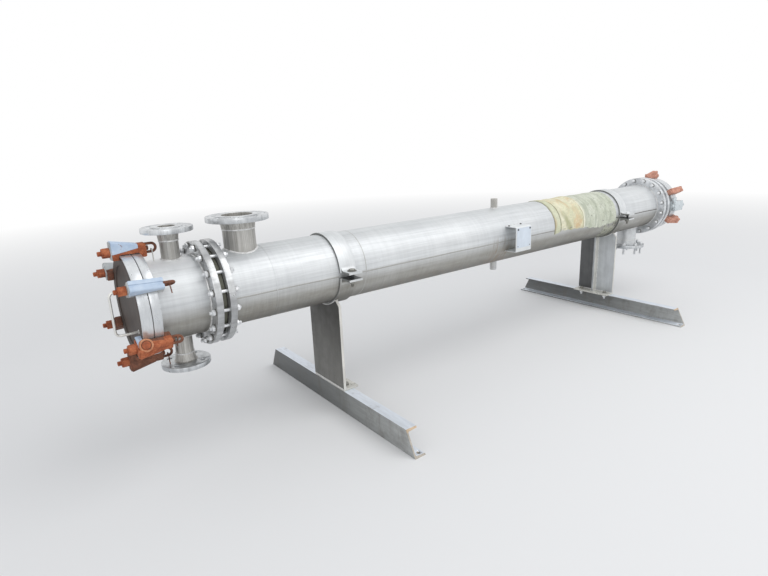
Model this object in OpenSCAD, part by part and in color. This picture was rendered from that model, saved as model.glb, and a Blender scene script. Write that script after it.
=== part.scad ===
// Horizontal shell and tube heat exchanger on two strap supports.
// X runs along the shell from the channel end to the return end, Z is up,
// and the floor is at z = 0. The origin is on the floor, under the shell axis,
// halfway between the two cover faces.

/* [Shell] */
// Outside diameter of the shell and of both headers
shell_od = 273; // [255:1:300]
// Wall of the shell and of both headers
shell_wall = 4; // [3:0.5:6]
// Height of the shell axis above the floor
axis_height = 594; // [570:1:700]
// Distance from the near leg back to the near girth flange
near_overhang = 426; // [400:1:520]
// Distance from the far leg out to the far girth flange
far_overhang = 426; // [400:1:520]

/* [Girth flanges] */
// Outside diameter of the girth flanges
girth_od = 364; // [358:1:400]
// Thickness of one girth flange
girth_t = 23; // [18:1:30]
// Thickness of a tubesheet, which is the gap between the flanges
sheet_t = 23; // [16:1:30]
// Bolt circle of the girth flanges
girth_pcd = 332; // [328:1:336]
// Number of studs round a girth flange
girth_studs = 16; // [12:4:20]
// Diameter of a stud
stud_d = 12; // [10:1:14]

/* [Headers] */
// Length of bare barrel on the channel
channel_length = 166; // [166:1:260]
// Length of bare barrel on the return header
return_length = 55; // [36:1:160]
// Outside diameter of the header end flanges and covers
end_od = 340; // [330:1:350]
// Thickness of a header end flange
end_t = 28; // [20:1:32]
// Thickness of a cover
cover_t = 34; // [26:1:38]
// Depth of the dished face of a cover
cover_dish = 4; // [1:0.5:8]
// Width of the raised rim round a cover's dished face
cover_rim = 34; // [32:1:40]
// Thickness of the pass partition
partition_t = 8; // [5:1:10]

/* [Tubes] */
// Outside diameter of a tube
tube_d = 25; // [18:0.5:27]
// Wall of a tube
tube_wall = 2; // [1.5:0.5:3]
// Distance between tube centres
tube_pitch = 32; // [30:0.5:33]
// Rings of the tube layout
tube_rings = 3; // [1:1:3]

/* [Shell nozzles] */
// Outside diameter of the shell nozzles
shell_neck_d = 114.3; // [90:0.1:120]
// Flange diameter of the shell nozzles
shell_noz_od = 220; // [216:1:235]
// Flange thickness of the shell nozzles
shell_noz_t = 20; // [16:1:26]
// Bolt circle of the shell nozzles
shell_noz_pcd = 180; // [176:1:190]
// Number of bolt holes in a shell nozzle
shell_noz_holes = 8; // [4:4:8]
// Height of a shell nozzle's face over the shell axis
shell_noz_rise = 255; // [245:1:320]
// Distance from a shell nozzle to the girth flange beside it
shell_noz_inset = 103; // [96:1:200]

/* [Channel nozzles] */
// Outside diameter of the channel nozzles
channel_neck_d = 60.3; // [48:0.1:76]
// Flange diameter of the channel nozzles
channel_noz_od = 165; // [160:1:180]
// Flange thickness of the channel nozzles
channel_noz_t = 18; // [14:1:24]
// Bolt circle of the channel nozzles
channel_noz_pcd = 125; // [118:1:130]
// Number of bolt holes in a channel nozzle
channel_noz_holes = 4; // [4:4:8]
// Height of a channel nozzle's face over the shell axis
channel_noz_rise = 244; // [235:1:300]
// Distance from a channel nozzle to the girth flange beside it
channel_noz_inset = 71; // [66:1:80]
// Wall of every nozzle
nozzle_wall = 3; // [2.5:0.5:5]
// Diameter of every nozzle bolt hole
nozzle_hole_d = 18; // [14:1:20]

/* [Couplings] */
// Outside diameter of the vent and drain couplings
coupling_d = 34; // [26:1:42]
// Bore of the couplings
coupling_bore = 20; // [12:1:22]
// How far the couplings stand off the shell
coupling_rise = 46; // [30:1:60]
// Place of the couplings and bracket past the near leg
mid_fittings = 1025; // [800:5:1300]

/* [Plate bracket] */
// Width of the data plate bracket
bracket_w = 113; // [90:1:140]
// Height of the data plate bracket
bracket_h = 122; // [116:1:140]
// How far the bracket's face stands in front of the shell
bracket_reach = 55; // [30:1:80]
// Height of the bracket's centre over the shell axis
bracket_lift = 0; // [0:1:10]
// Sheet thickness of the bracket
bracket_t = 3; // [2:0.5:5]
// Margin on both sides of the data plate
plate_margin = 6; // [5:1:15]
// Height of the data plate
plate_h = 96; // [70:1:100]
// Height of the data plate's centre over the bracket's centre
plate_lift = 8; // [0:1:8]
// Thickness of the data plate
plate_t = 1.5; // [1:0.5:3]

/* [Supports] */
// Distance between the outer faces of the two leg plates
support_pitch = 2010; // [1800:5:2600]
// Width of a strap along the shell
strap_w = 72; // [56:1:90]
// How far the far straps sit outward on their leg
far_strap_shift = 36; // [0:1:40]
// Thickness of a strap
strap_t = 8; // [6:0.5:10]
// Gap between the ears of the two strap halves
ear_gap = 20; // [10:1:30]
// How far the middle of that gap is under the shell axis
ear_drop = 5; // [0:1:12]
// How far an ear stands out from the strap
ear_reach = 53; // [40:1:70]
// How far an ear stops short of the strap's edges
ear_inset = 6; // [2:1:12]
// Diameter of the bolt holes in the ears and foot plates
bolt_hole_d = 14; // [10:1:18]
// Width of a leg plate across the shell
leg_w = 232; // [180:2:260]
// Thickness of a leg plate and of its rib
leg_t = 12; // [8:1:16]
// Depth of the rib on a leg plate
rib_depth = 34; // [24:1:50]
// Width of the cut top corner of a leg plate
leg_corner = 24; // [10:1:30]

/* [Feet] */
// Height of a base channel
base_h = 96; // [80:1:140]
// Flange width of a base channel
base_flange = 48; // [46:1:60]
// Web thickness of a base channel
base_web = 6; // [4:0.5:8]
// Flange thickness of a base channel
base_flange_t = 8.5; // [6:0.5:10]
// Length of a base channel along the floor
base_length = 1120; // [900:10:1400]
// How much shorter the top is at each end
base_bevel = 48; // [20:1:80]
// Distance from an anchor hole to the channel's end
anchor_inset = 17; // [14:1:30]
// Thickness of a foot plate
foot_t = 8; // [6:1:12]
// Depth of a foot plate along the shell
foot_depth = 71; // [66:1:90]
// Distance between the two holes of a foot plate
foot_holes = 160; // [110:2:190]

/* [Handles and clamps] */
// Diameter of the handle rod
handle_d = 8; // [6:1:12]
// Length of a handle
handle_length = 137; // [110:1:150]
// How far a handle stands off its cover
handle_reach = 62; // [50:1:90]
// Distance of a handle in front of the shell axis
handle_offset = 98; // [70:1:104]
// Bend radius of a handle
handle_bend = 14; // [10:1:24]
// Width of a clamp
clamp_w = 36; // [24:1:40]
// Width of the pale clamp on the return cover
pale_w = 62; // [40:1:66]
// Thickness of a clamp's back
clamp_back = 28; // [24:1:32]
// How much higher a clamp's back is at the cover's end
clamp_rise = 18; // [0:1:24]
// Thickness of a clamp's jaws
clamp_jaw = 20; // [14:1:22]
// Depth of a clamp's jaws below the flange rim
clamp_bite = 14; // [8:1:20]
// Diameter of a clamp bolt
clamp_bolt_d = 16; // [12:1:18]
// Height of the nut on a clamp bolt
clamp_nut_h = 23; // [12:1:26]
// Length of a clamp bolt outside its nut
clamp_bolt_out = 12; // [4:1:16]
// Outside height of the eye on a channel clamp's bolt
eye_d = 36; // [28:1:38]
// Thickness of that eye
eye_t = 10; // [6:1:12]

/* [Hidden] */

// Clearance between round pieces that fit in each other
fit = 0.3;
// A little extra length for cutters
cut = 2;
// Clearance of a stud in its hole
stud_play = 2;
$fn = 96;

shell_r = shell_od / 2;
bore_r = shell_r - shell_wall;
strap_in = shell_r + fit;
strap_out = strap_in + strap_t;

// Places along X, counted from the outer face of the near leg plate
near_face = -near_overhang;
near_sheet = near_face - girth_t;
near_channel = near_sheet - sheet_t;
near_barrel = near_channel - girth_t;
near_end = near_barrel - channel_length;
near_joint = near_end - end_t;
near_cover = near_joint - cover_t;
far_leg = support_pitch;
far_face = far_leg + far_overhang;
far_sheet = far_face + girth_t;
far_channel = far_sheet + sheet_t;
far_barrel = far_channel + girth_t;
far_end = far_barrel + return_length;
far_joint = far_end + end_t;
far_cover = far_joint + cover_t;
x_mid = (near_cover + far_cover) / 2;

top_nozzle_x = near_face + shell_noz_inset;
bottom_nozzle_x = far_face - shell_noz_inset;
channel_nozzle_x = near_barrel - channel_noz_inset;

// Angles of the clamps, from the top toward the front
blue_angles = [0, 60, 120];
rusty_angles = [180, 240, 300];
return_angles = [0, 60, 120, 240, 300];
pale_angle = 90;

STAINLESS = "#c9ccd0";
BRIGHT = "#dfe2e6";
GREY = "#8f9498";
ZINC = "#b9bcbd";
BLUE = "#b4cbe6";
RUST = "#b0603a";
WHITE = "#eceff2";

// Moves a piece from the near leg and the shell axis to the part's origin
module place(x = 0) {
    translate([x - x_mid, 0, axis_height]) children();
}

// Moves a piece to the floor beside the near leg
module on_floor(x = 0) {
    translate([x - x_mid, 0, 0]) children();
}

// Solid round bar along X from x0 to x1
module rod_x(r, x0, x1) {
    translate([x0, 0, 0]) rotate([0, 90, 0]) cylinder(r = r, h = x1 - x0);
}

// Copies round the X axis, the first at angle a0 from the top
module ring_x(count, a0 = 0) {
    for (i = [0 : count - 1]) rotate([a0 + i * 360 / count, 0, 0]) children();
}

// Turns a piece that stands on top to an angle toward the front
module at_angle(a) {
    rotate([a, 0, 0]) children();
}

// Barrel along X with a round hole for each branch in [[x, side, radius], ...]
module barrel(x0, x1, branches) {
    difference() {
        rod_x(shell_r, x0, x1);
        rod_x(bore_r, x0 - cut, x1 + cut);
        for (b = branches) translate([b[0], 0, 0])
            rotate([b[1] > 0 ? 0 : 180, 0, 0]) cylinder(r = b[2] + fit, h = shell_od);
    }
}

// Ring flange on a barrel with its bolt circle
module girth_flange(x) {
    place(x) difference() {
        rod_x(girth_od / 2, 0, girth_t);
        rod_x(shell_r + fit, -cut, girth_t + cut);
        ring_x(girth_studs, 180 / girth_studs) translate([0, 0, girth_pcd / 2])
            rod_x((stud_d + stud_play) / 2, -cut, girth_t + cut);
    }
}

// Tube centres in rings, with the middle row left out for the partition
tube_places = [for (j = [-tube_rings : tube_rings]) if (j != 0)
    for (i = [-tube_rings : tube_rings]) if (abs(i + j) <= tube_rings)
        [(i + j / 2) * tube_pitch, j * tube_pitch * sqrt(3) / 2]];

module tube_holes(r, x0, x1) {
    for (p = tube_places) translate([0, p[0], p[1]]) rod_x(r, x0, x1);
}

module tubesheet(x) {
    place(x) difference() {
        rod_x(girth_pcd / 2 - (stud_d + stud_play) / 2 - sheet_edge, 0, sheet_t);
        tube_holes(tube_d / 2 + fit / 2, -cut, sheet_t + cut);
    }
}

// Room between a tubesheet's rim and the studs round it
sheet_edge = 4;

module end_flange(x) {
    place(x) difference() {
        rod_x(end_od / 2, 0, end_t);
        rod_x(shell_r + fit, -cut, end_t + cut);
    }
}

// Blind cover whose dished face looks toward -X when side is -1
module cover(x, side) {
    place(x) scale([side, 1, 1]) difference() {
        rod_x(end_od / 2, 0, cover_t);
        rod_x(end_od / 2 - cover_rim, cover_t - cover_dish, cover_t + cut);
    }
}

// Flanged nozzle that stands up from the axis, its face at height rise
module nozzle(x, side, neck_d, od, t, pcd, holes, rise) {
    neck_r = neck_d / 2;
    root = sqrt(pow(bore_r, 2) - pow(neck_r, 2)) - root_reach;
    place(x) rotate([side > 0 ? 0 : 180, 0, 0]) difference() {
        union() {
            translate([0, 0, root]) cylinder(r = neck_r, h = rise - root);
            translate([0, 0, rise - t]) cylinder(r = od / 2, h = t);
            translate([0, 0, rise - t - hub_h])
                cylinder(r1 = neck_r, r2 = neck_r + hub_t, h = hub_h);
        }
        translate([0, 0, root - cut]) cylinder(r = neck_r - nozzle_wall, h = rise);
        translate([0, 0, rise - cut]) cylinder(r = neck_r - nozzle_wall, h = 2 * cut);
        for (i = [0 : holes - 1]) rotate(180 / holes + i * 360 / holes)
            translate([pcd / 2, 0, rise - t - cut])
                cylinder(d = nozzle_hole_d, h = t + 2 * cut);
    }
}

// How far a neck reaches into its barrel, and the hub under a flange
root_reach = 3;
hub_h = 14;
hub_t = 5;

module coupling(side) {
    root = sqrt(pow(bore_r, 2) - pow(coupling_d / 2, 2)) - root_reach;
    place(mid_fittings) rotate([side > 0 ? 0 : 180, 0, 0]) difference() {
        translate([0, 0, root]) cylinder(d = coupling_d, h = shell_r + coupling_rise - root);
        translate([0, 0, root - cut])
            cylinder(d = coupling_bore, h = shell_r + coupling_rise);
    }
}

// Handle of round rod, its two feet on a cover at x, standing off toward side
module handle(x, side) {
    r = handle_d / 2;
    half = handle_length / 2;
    place(x) scale([side, 1, 1]) translate([0, -handle_offset, handle_lift]) {
        for (s = [-1, 1]) {
            translate([0, 0, s * half]) rod_x(r, -cover_dish, handle_reach - handle_bend);
            translate([handle_reach - handle_bend, 0, s * (half - handle_bend)])
                rotate([90, 0, 0]) rotate([0, 0, s > 0 ? 0 : -90])
                    rotate_extrude(angle = 90) translate([handle_bend, 0]) circle(r = r);
        }
        translate([handle_reach, 0, handle_bend - half])
            cylinder(r = r, h = handle_length - 2 * handle_bend);
    }
}

// Height of the handles' middle over the shell axis
handle_lift = 9;

// Clamp over the rim of an end flange and cover, standing on top. The joint
// is at x = 0, the cover on the +X side, and a bolt runs through the back.
module clamp_body(w = clamp_w) {
    rim = end_od / 2 + clamp_play;
    inner = end_od / 2 - clamp_bite;
    back = rim + clamp_back;
    difference() {
        translate([0, w / 2, 0]) rotate([90, 0, 0]) linear_extrude(w) polygon([
            [clamp_tail, inner], [-end_t, inner], [-end_t, rim], [cover_t, rim],
            [cover_t, inner], [clamp_head, inner], [clamp_head, back + clamp_rise],
            [-end_t, back], [clamp_tail, back]]);
        translate([0, 0, clamp_bolt_z])
            rod_x(clamp_bolt_d / 2 + fit, clamp_tail - cut, clamp_head + cut);
    }
}

// Bolt of a clamp from x0 on, with its washer and hexagonal nut at the cover
module clamp_bolt(x0) {
    nut = clamp_head + washer_t;
    translate([0, 0, clamp_bolt_z]) {
        rod_x(clamp_bolt_d / 2, x0, nut + clamp_nut_h + clamp_bolt_out);
        rod_x(clamp_bolt_d, clamp_head, nut);
        translate([nut, 0, 0]) rotate([0, 90, 0])
            cylinder(r = clamp_bolt_d, h = clamp_nut_h, $fn = 6);
    }
}

// Clamp bolt that ends in a flat eye behind the channel's end flange. The
// eye's two arms run up to the clamp.
module eye_bolt() {
    bar = eye_d / 4;
    middle = clamp_tail - eye_d / 2;
    difference() {
        union() {
            clamp_bolt(clamp_tail - bar / 2);
            translate([middle, eye_t / 2, clamp_bolt_z]) rotate([90, 0, 0])
                cylinder(d = eye_d, h = eye_t);
            translate([middle, -eye_t / 2, clamp_bolt_z - eye_d / 2])
                cube([eye_d / 2, eye_t, eye_d]);
        }
        translate([middle, clamp_w, clamp_bolt_z]) rotate([90, 0, 0])
            cylinder(r = eye_d / 2 - bar, h = 2 * clamp_w);
        translate([middle, -clamp_w, clamp_bolt_z - eye_d / 2 + bar])
            cube([eye_d / 2 - bar, 2 * clamp_w, eye_d - 2 * bar]);
    }
}

// Clamp bolt with a low hexagonal head behind the return end flange
module head_bolt() {
    clamp_bolt(clamp_tail - cut);
    translate([clamp_tail - low_head, 0, clamp_bolt_z]) rotate([0, 90, 0])
        cylinder(r = clamp_bolt_d * 0.85, h = low_head, $fn = 6);
}

// Clearance over a clamped rim, the two ends of a clamp, the height of its
// bolt over the shell axis, and the sizes of the bolt's small parts
clamp_play = 1.5;
clamp_tail = -end_t - clamp_jaw;
clamp_head = cover_t + clamp_jaw;
clamp_bolt_z = end_od / 2 + clamp_play + clamp_bolt_d * 0.65;
washer_t = 3;
low_head = 10;

// Half strap round the shell with an ear at each end; side is +1 on top
module strap(side) {
    ear_y = strap_out + ear_reach;
    ear_z = side > 0 ? ear_gap / 2 - ear_drop : -ear_gap / 2 - ear_drop;
    difference() {
        union() {
            rod_x(strap_out, 0, strap_w);
            translate([ear_inset, -ear_y, side > 0 ? ear_z : ear_z - strap_t])
                cube([strap_w - 2 * ear_inset, 2 * ear_y, strap_t]);
        }
        rod_x(strap_in, -cut, strap_w + cut);
        translate([-cut, -ear_y - cut, side > 0 ? ear_z - 2 * strap_out : ear_z])
            cube([strap_w + 2 * cut, 2 * (ear_y + cut), 2 * strap_out]);
        for (s = [-1, 1]) translate([strap_w / 2, s * (ear_y - ear_reach / 2), -strap_out])
            cylinder(d = bolt_hole_d, h = 2 * strap_out);
    }
}

// Leg plate in the YZ plane whose outer face is at x = 0
module leg_plate() {
    top = axis_height - sqrt(pow(strap_out + fit, 2) - pow(leg_w / 2 - leg_corner, 2));
    foot = base_h + foot_t;
    difference() {
        rotate([90, 0, 90]) linear_extrude(leg_t) polygon([
            [-leg_w / 2, foot], [leg_w / 2, foot],
            [leg_w / 2, top - leg_corner], [leg_w / 2 - leg_corner, top],
            [0, axis_height - shell_r], [leg_corner - leg_w / 2, top],
            [-leg_w / 2, top - leg_corner]]);
        translate([0, 0, axis_height]) rod_x(strap_out + fit, -cut, leg_t + cut);
    }
}

module leg_rib() {
    foot = base_h + foot_t;
    difference() {
        translate([leg_t, -leg_t / 2, foot])
            cube([rib_depth, leg_t, axis_height - shell_r - foot]);
        translate([0, 0, axis_height]) rod_x(strap_out + fit, -cut, strap_w + cut);
    }
}

module foot_plate() {
    difference() {
        translate([0, -leg_w / 2, base_h]) cube([foot_depth, leg_w, foot_t]);
        for (s = [-1, 1]) translate([foot_gauge, s * foot_holes / 2, base_h - cut])
            cylinder(d = bolt_hole_d, h = foot_t + 2 * cut);
    }
}

// Distance from the web's face to the holes in a channel's two flanges
base_gauge = base_flange * 0.6;
foot_gauge = base_flange * 0.7;

// Channel section across the shell, its web face at x = 0
module base_channel() {
    half = base_length / 2;
    difference() {
        rotate([90, 0, 90]) linear_extrude(base_flange) polygon([
            [-half, 0], [half, 0], [half - base_bevel, base_h], [base_bevel - half, base_h]]);
        translate([base_web, -half - cut, base_flange_t])
            cube([base_flange, base_length + 2 * cut, base_h - 2 * base_flange_t]);
        for (s = [-1, 1]) {
            translate([base_gauge, s * (half - anchor_inset), -cut])
                cylinder(d = bolt_hole_d, h = base_flange_t + 2 * cut);
            translate([foot_gauge, s * foot_holes / 2, base_h - base_flange_t - cut])
                cylinder(d = bolt_hole_d, h = base_flange_t + 2 * cut);
        }
    }
}

// A support piece at the near leg, or mirrored at the far leg
module near_side() {
    translate([-x_mid, 0, 0]) children();
}

module far_side() {
    translate([far_leg - x_mid, 0, 0]) mirror([1, 0, 0]) children();
}

module shell_barrel() {
    color(STAINLESS) place() barrel(near_sheet, far_sheet, [
        [top_nozzle_x, 1, shell_neck_d / 2], [bottom_nozzle_x, -1, shell_neck_d / 2],
        [mid_fittings, 1, coupling_d / 2], [mid_fittings, -1, coupling_d / 2]]);
}

module shell_top_nozzle() {
    color(BRIGHT) nozzle(top_nozzle_x, 1, shell_neck_d, shell_noz_od, shell_noz_t,
        shell_noz_pcd, shell_noz_holes, shell_noz_rise);
}

module shell_bottom_nozzle() {
    color(BRIGHT) nozzle(bottom_nozzle_x, -1, shell_neck_d, shell_noz_od, shell_noz_t,
        shell_noz_pcd, shell_noz_holes, shell_noz_rise);
}

module near_shell_flange() { color(BRIGHT) girth_flange(near_sheet); }
module near_tubesheet() { color(GREY) tubesheet(near_channel); }
module channel_flange() { color(BRIGHT) girth_flange(near_barrel); }

module channel_barrel() {
    color(STAINLESS) place() barrel(near_joint, near_channel, [
        [channel_nozzle_x, 1, channel_neck_d / 2], [channel_nozzle_x, -1, channel_neck_d / 2]]);
}

module channel_top_nozzle() {
    color(BRIGHT) nozzle(channel_nozzle_x, 1, channel_neck_d, channel_noz_od,
        channel_noz_t, channel_noz_pcd, channel_noz_holes, channel_noz_rise);
}

module channel_bottom_nozzle() {
    color(BRIGHT) nozzle(channel_nozzle_x, -1, channel_neck_d, channel_noz_od,
        channel_noz_t, channel_noz_pcd, channel_noz_holes, channel_noz_rise);
}

module channel_end_flange() { color(BRIGHT) end_flange(near_joint); }
module channel_cover() { color(GREY) cover(near_joint, -1); }
module channel_handle() { color(WHITE) handle(near_cover, -1); }

// The channel's clamps at the given angles, mirrored to face the channel cover
module channel_clamps(angles) {
    place(near_joint) for (a = angles)
        at_angle(a) mirror([1, 0, 0]) clamp_body();
}

module channel_blue_clamps() { color(BLUE) channel_clamps(blue_angles); }
module channel_rusty_clamps() { color(RUST) channel_clamps(rusty_angles); }

module channel_clamp_screws() {
    color(RUST) place(near_joint) for (a = concat(blue_angles, rusty_angles))
        at_angle(a) mirror([1, 0, 0]) eye_bolt();
}

module pass_partition() {
    color(GREY) place() translate([near_joint, -bore_r + partition_play, -partition_t / 2])
        cube([near_channel - near_joint, 2 * (bore_r - partition_play), partition_t]);
}

// Side clearance of the pass partition in its barrel
partition_play = 0.4;

module tube_bundle() {
    color(ZINC) place() difference() {
        tube_holes(tube_d / 2, near_channel, far_channel);
        tube_holes(tube_d / 2 - tube_wall, near_channel - cut, far_channel + cut);
    }
}

module far_shell_flange() { color(BRIGHT) girth_flange(far_face); }
module far_tubesheet() { color(GREY) tubesheet(far_sheet); }
module return_flange() { color(BRIGHT) girth_flange(far_channel); }
module return_barrel() { color(STAINLESS) place() barrel(far_channel, far_joint, []); }
module return_end_flange() { color(BRIGHT) end_flange(far_end); }
module return_cover() { color(GREY) cover(far_joint, 1); }
module return_handle() { color(WHITE) handle(far_cover, 1); }

module return_clamps() {
    color(RUST) place(far_joint) for (a = return_angles) at_angle(a) clamp_body();
}

// The pale clamp is wider and has an ear on its upper side
module return_pale_clamp() {
    color(BLUE) place(far_joint) at_angle(pale_angle) {
        clamp_body(pale_w);
        translate([clamp_tail, pale_w / 2 - cut, clamp_bolt_z - ear_block / 4])
            cube([pale_ear, ear_block + cut, ear_block / 2]);
    }
}

// Length of the pale clamp's ear along the shell, and how far it stands out
pale_ear = 38;
ear_block = 26;

module return_clamp_screws() {
    color(RUST) place(far_joint) for (a = concat(return_angles, [pale_angle]))
        at_angle(a) head_bolt();
}

module near_upper_strap() {
    color(STAINLESS) near_side() translate([0, 0, axis_height]) strap(1);
}

module near_lower_strap() {
    color(STAINLESS) near_side() translate([0, 0, axis_height]) strap(-1);
}

module near_leg_plate() { color(GREY) near_side() leg_plate(); }
module near_leg_rib() { color(GREY) near_side() leg_rib(); }
module near_foot_plate() { color(ZINC) near_side() foot_plate(); }
module near_base_channel() { color(ZINC) near_side() base_channel(); }

module far_upper_strap() {
    color(STAINLESS) far_side() translate([-far_strap_shift, 0, axis_height]) strap(1);
}

module far_lower_strap() {
    color(STAINLESS) far_side() translate([-far_strap_shift, 0, axis_height]) strap(-1);
}

module far_leg_plate() { color(GREY) far_side() leg_plate(); }
module far_leg_rib() { color(GREY) far_side() leg_rib(); }
module far_foot_plate() { color(ZINC) far_side() foot_plate(); }
module far_base_channel() { color(ZINC) far_side() base_channel(); }

module vent_coupling() { color(STAINLESS) coupling(1); }
module drain_coupling() { color(STAINLESS) coupling(-1); }

// Bent sheet bracket: a face in front, its upper and lower edge bent back
// to the shell, open at both sides
module plate_bracket() {
    face_y = -shell_r - bracket_reach;
    color(BRIGHT) place(mid_fittings) difference() {
        translate([-bracket_w / 2, face_y, bracket_lift - bracket_h / 2])
            cube([bracket_w, bracket_reach + shell_r / 2, bracket_h]);
        translate([-bracket_w, face_y + bracket_t, bracket_lift - bracket_h / 2 + bracket_t])
            cube([2 * bracket_w, shell_od, bracket_h - 2 * bracket_t]);
        rod_x(shell_r + fit, -bracket_w, bracket_w);
    }
}

module data_plate() {
    color(WHITE) place(mid_fittings) translate([plate_margin - bracket_w / 2,
            -shell_r - bracket_reach - plate_t, bracket_lift + plate_lift - plate_h / 2])
        cube([bracket_w - 2 * plate_margin, plate_t, plate_h]);
}

shell_barrel();
shell_top_nozzle();
shell_bottom_nozzle();
near_shell_flange();
near_tubesheet();
channel_flange();
channel_barrel();
channel_top_nozzle();
channel_bottom_nozzle();
channel_end_flange();
channel_cover();
channel_handle();
channel_blue_clamps();
channel_rusty_clamps();
channel_clamp_screws();
pass_partition();
tube_bundle();
far_shell_flange();
far_tubesheet();
return_flange();
return_barrel();
return_end_flange();
return_cover();
return_handle();
return_clamps();
return_pale_clamp();
return_clamp_screws();
near_upper_strap();
near_lower_strap();
near_leg_plate();
near_leg_rib();
near_foot_plate();
near_base_channel();
far_upper_strap();
far_lower_strap();
far_leg_plate();
far_leg_rib();
far_foot_plate();
far_base_channel();
vent_coupling();
drain_coupling();
plate_bracket();
data_plate();
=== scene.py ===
import math
import random

import bmesh
import bpy
from mathutils import Matrix, Vector


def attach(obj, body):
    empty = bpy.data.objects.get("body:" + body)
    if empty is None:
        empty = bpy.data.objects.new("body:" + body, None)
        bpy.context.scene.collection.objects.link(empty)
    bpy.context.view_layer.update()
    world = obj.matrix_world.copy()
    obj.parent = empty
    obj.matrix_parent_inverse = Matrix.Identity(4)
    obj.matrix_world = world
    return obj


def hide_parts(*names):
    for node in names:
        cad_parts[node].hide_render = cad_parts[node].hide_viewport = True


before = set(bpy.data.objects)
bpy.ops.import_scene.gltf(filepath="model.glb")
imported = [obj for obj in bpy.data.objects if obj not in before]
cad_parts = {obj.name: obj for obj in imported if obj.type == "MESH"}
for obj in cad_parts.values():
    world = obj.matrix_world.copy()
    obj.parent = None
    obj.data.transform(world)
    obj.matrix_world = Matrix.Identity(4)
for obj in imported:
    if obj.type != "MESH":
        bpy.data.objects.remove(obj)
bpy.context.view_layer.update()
scene = bpy.context.scene
random.seed(7)

# Everything below is written in millimetres, with x counted from the outer
# face of the near leg, as in the part's source, and z from the floor.
MM = 0.001
X_MID = 949.5
AXIS_Z = 594.0
SHELL_R = 136.5
BORE_R = 132.5
CHANNEL_FACE, RETURN_FACE = -723, 2622      # faces of the end covers
CHANNEL_JOINT, RETURN_JOINT = -689, 2588    # where the covers meet their flanges
CHANNEL_NOZZLE, NEAR_NOZZLE, FAR_NOZZLE = -566, -323, 2333
FITTINGS_X = 1025        # vent, drain and data plate
SUPPORT_PITCH = 2010     # between the legs' outer faces
FOOT_TOP = 104
RING_IN = SHELL_R + 0.3    # inside of everything that sits round the shell


# Transforms

def shift(x, y, z):
    return Matrix.Translation((x, y, z))


def spin(radians):
    return Matrix.Rotation(radians, 4, "Z")


def to_row(x=0.0, y=0.0, z=0.0):
    """Takes millimetres at a place in the row to metres in the frame."""
    return shift((x - X_MID) * MM, y * MM, z * MM) @ Matrix.Scale(MM, 4)


def turn_x(angle):
    return Matrix.Rotation(math.radians(angle), 4, "X")


# Local z points along the row's x, local x along y, and local y along z.
ALONG_X = Matrix(((0, 0, 1, 0), (1, 0, 0, 0), (0, 1, 0, 0), (0, 0, 0, 1)))
# Local z points toward the viewer, and local y up.
TO_FRONT = Matrix(((1, 0, 0, 0), (0, 0, -1, 0), (0, 1, 0, 0), (0, 0, 0, 1)))


def on_axis(x, flip=False):
    """Shell axis at x, local z along +x, or along -x when flipped."""
    m = to_row(x, 0, AXIS_Z)
    if flip:
        m = m @ spin(math.pi)
    return m @ ALONG_X


# Mesh helpers

class Build:
    """Collects mesh parts in the frame's metres and turns them into one piece."""

    def __init__(self):
        self.bm = bmesh.new()

    def take(self, part, matrix, look=0):
        for face in part.faces:
            face.material_index = look
        part.transform(matrix)
        if matrix.to_3x3().determinant() < 0:
            bmesh.ops.reverse_faces(part, faces=part.faces)
        mesh = bpy.data.meshes.new("part")
        part.to_mesh(mesh)
        part.free()
        self.bm.from_mesh(mesh)
        bpy.data.meshes.remove(mesh)

    def piece(self, name, material, slot, replaces=(), smooth=32):
        limit = math.radians(smooth)
        for face in self.bm.faces:
            face.smooth = True
        for edge in self.bm.edges:
            sharp = len(edge.link_faces) != 2 or edge.calc_face_angle(0) > limit
            edge.smooth = not sharp
        mesh = bpy.data.meshes.new(name)
        self.bm.to_mesh(mesh)
        self.bm.free()
        for look in material if isinstance(material, list) else [material]:
            mesh.materials.append(look)
        obj = bpy.data.objects.new(name, mesh)
        scene.collection.objects.link(obj)
        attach(obj, "root")
        if replaces:
            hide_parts(*replaces)
        return obj


def turns(n, first=0.0):
    """Angles of n even steps round a circle."""
    return [2 * math.pi * (i + first) / n for i in range(n)]


def circle(r, n, cx=0.0, cy=0.0):
    return [(cx + r * math.cos(a), cy + r * math.sin(a)) for a in turns(n)]


def skin(bm, rows):
    """Faces between each ring and the next one."""
    n = len(rows[0])
    for a, b in zip(rows, rows[1:]):
        for i in range(n):
            bm.faces.new((a[i], a[(i + 1) % n], b[(i + 1) % n], b[i]))


def area2(loop):
    return sum(a[0] * b[1] - b[0] * a[1] for a, b in zip(loop, loop[1:] + loop[:1]))


def inset(loop, d):
    """Moves a loop to its left by d, with mitred corners."""
    out = []
    n = len(loop)
    for i in range(n):
        p, q, r = Vector(loop[i - 1]), Vector(loop[i]), Vector(loop[(i + 1) % n])
        e1, e2 = (q - p).normalized(), (r - q).normalized()
        n1, n2 = Vector((-e1.y, e1.x)), Vector((-e2.y, e2.x))
        out.append(tuple(q + (n1 + n2) * (d / max(0.35, 1 + n1.dot(n2)))))
    return out


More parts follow.
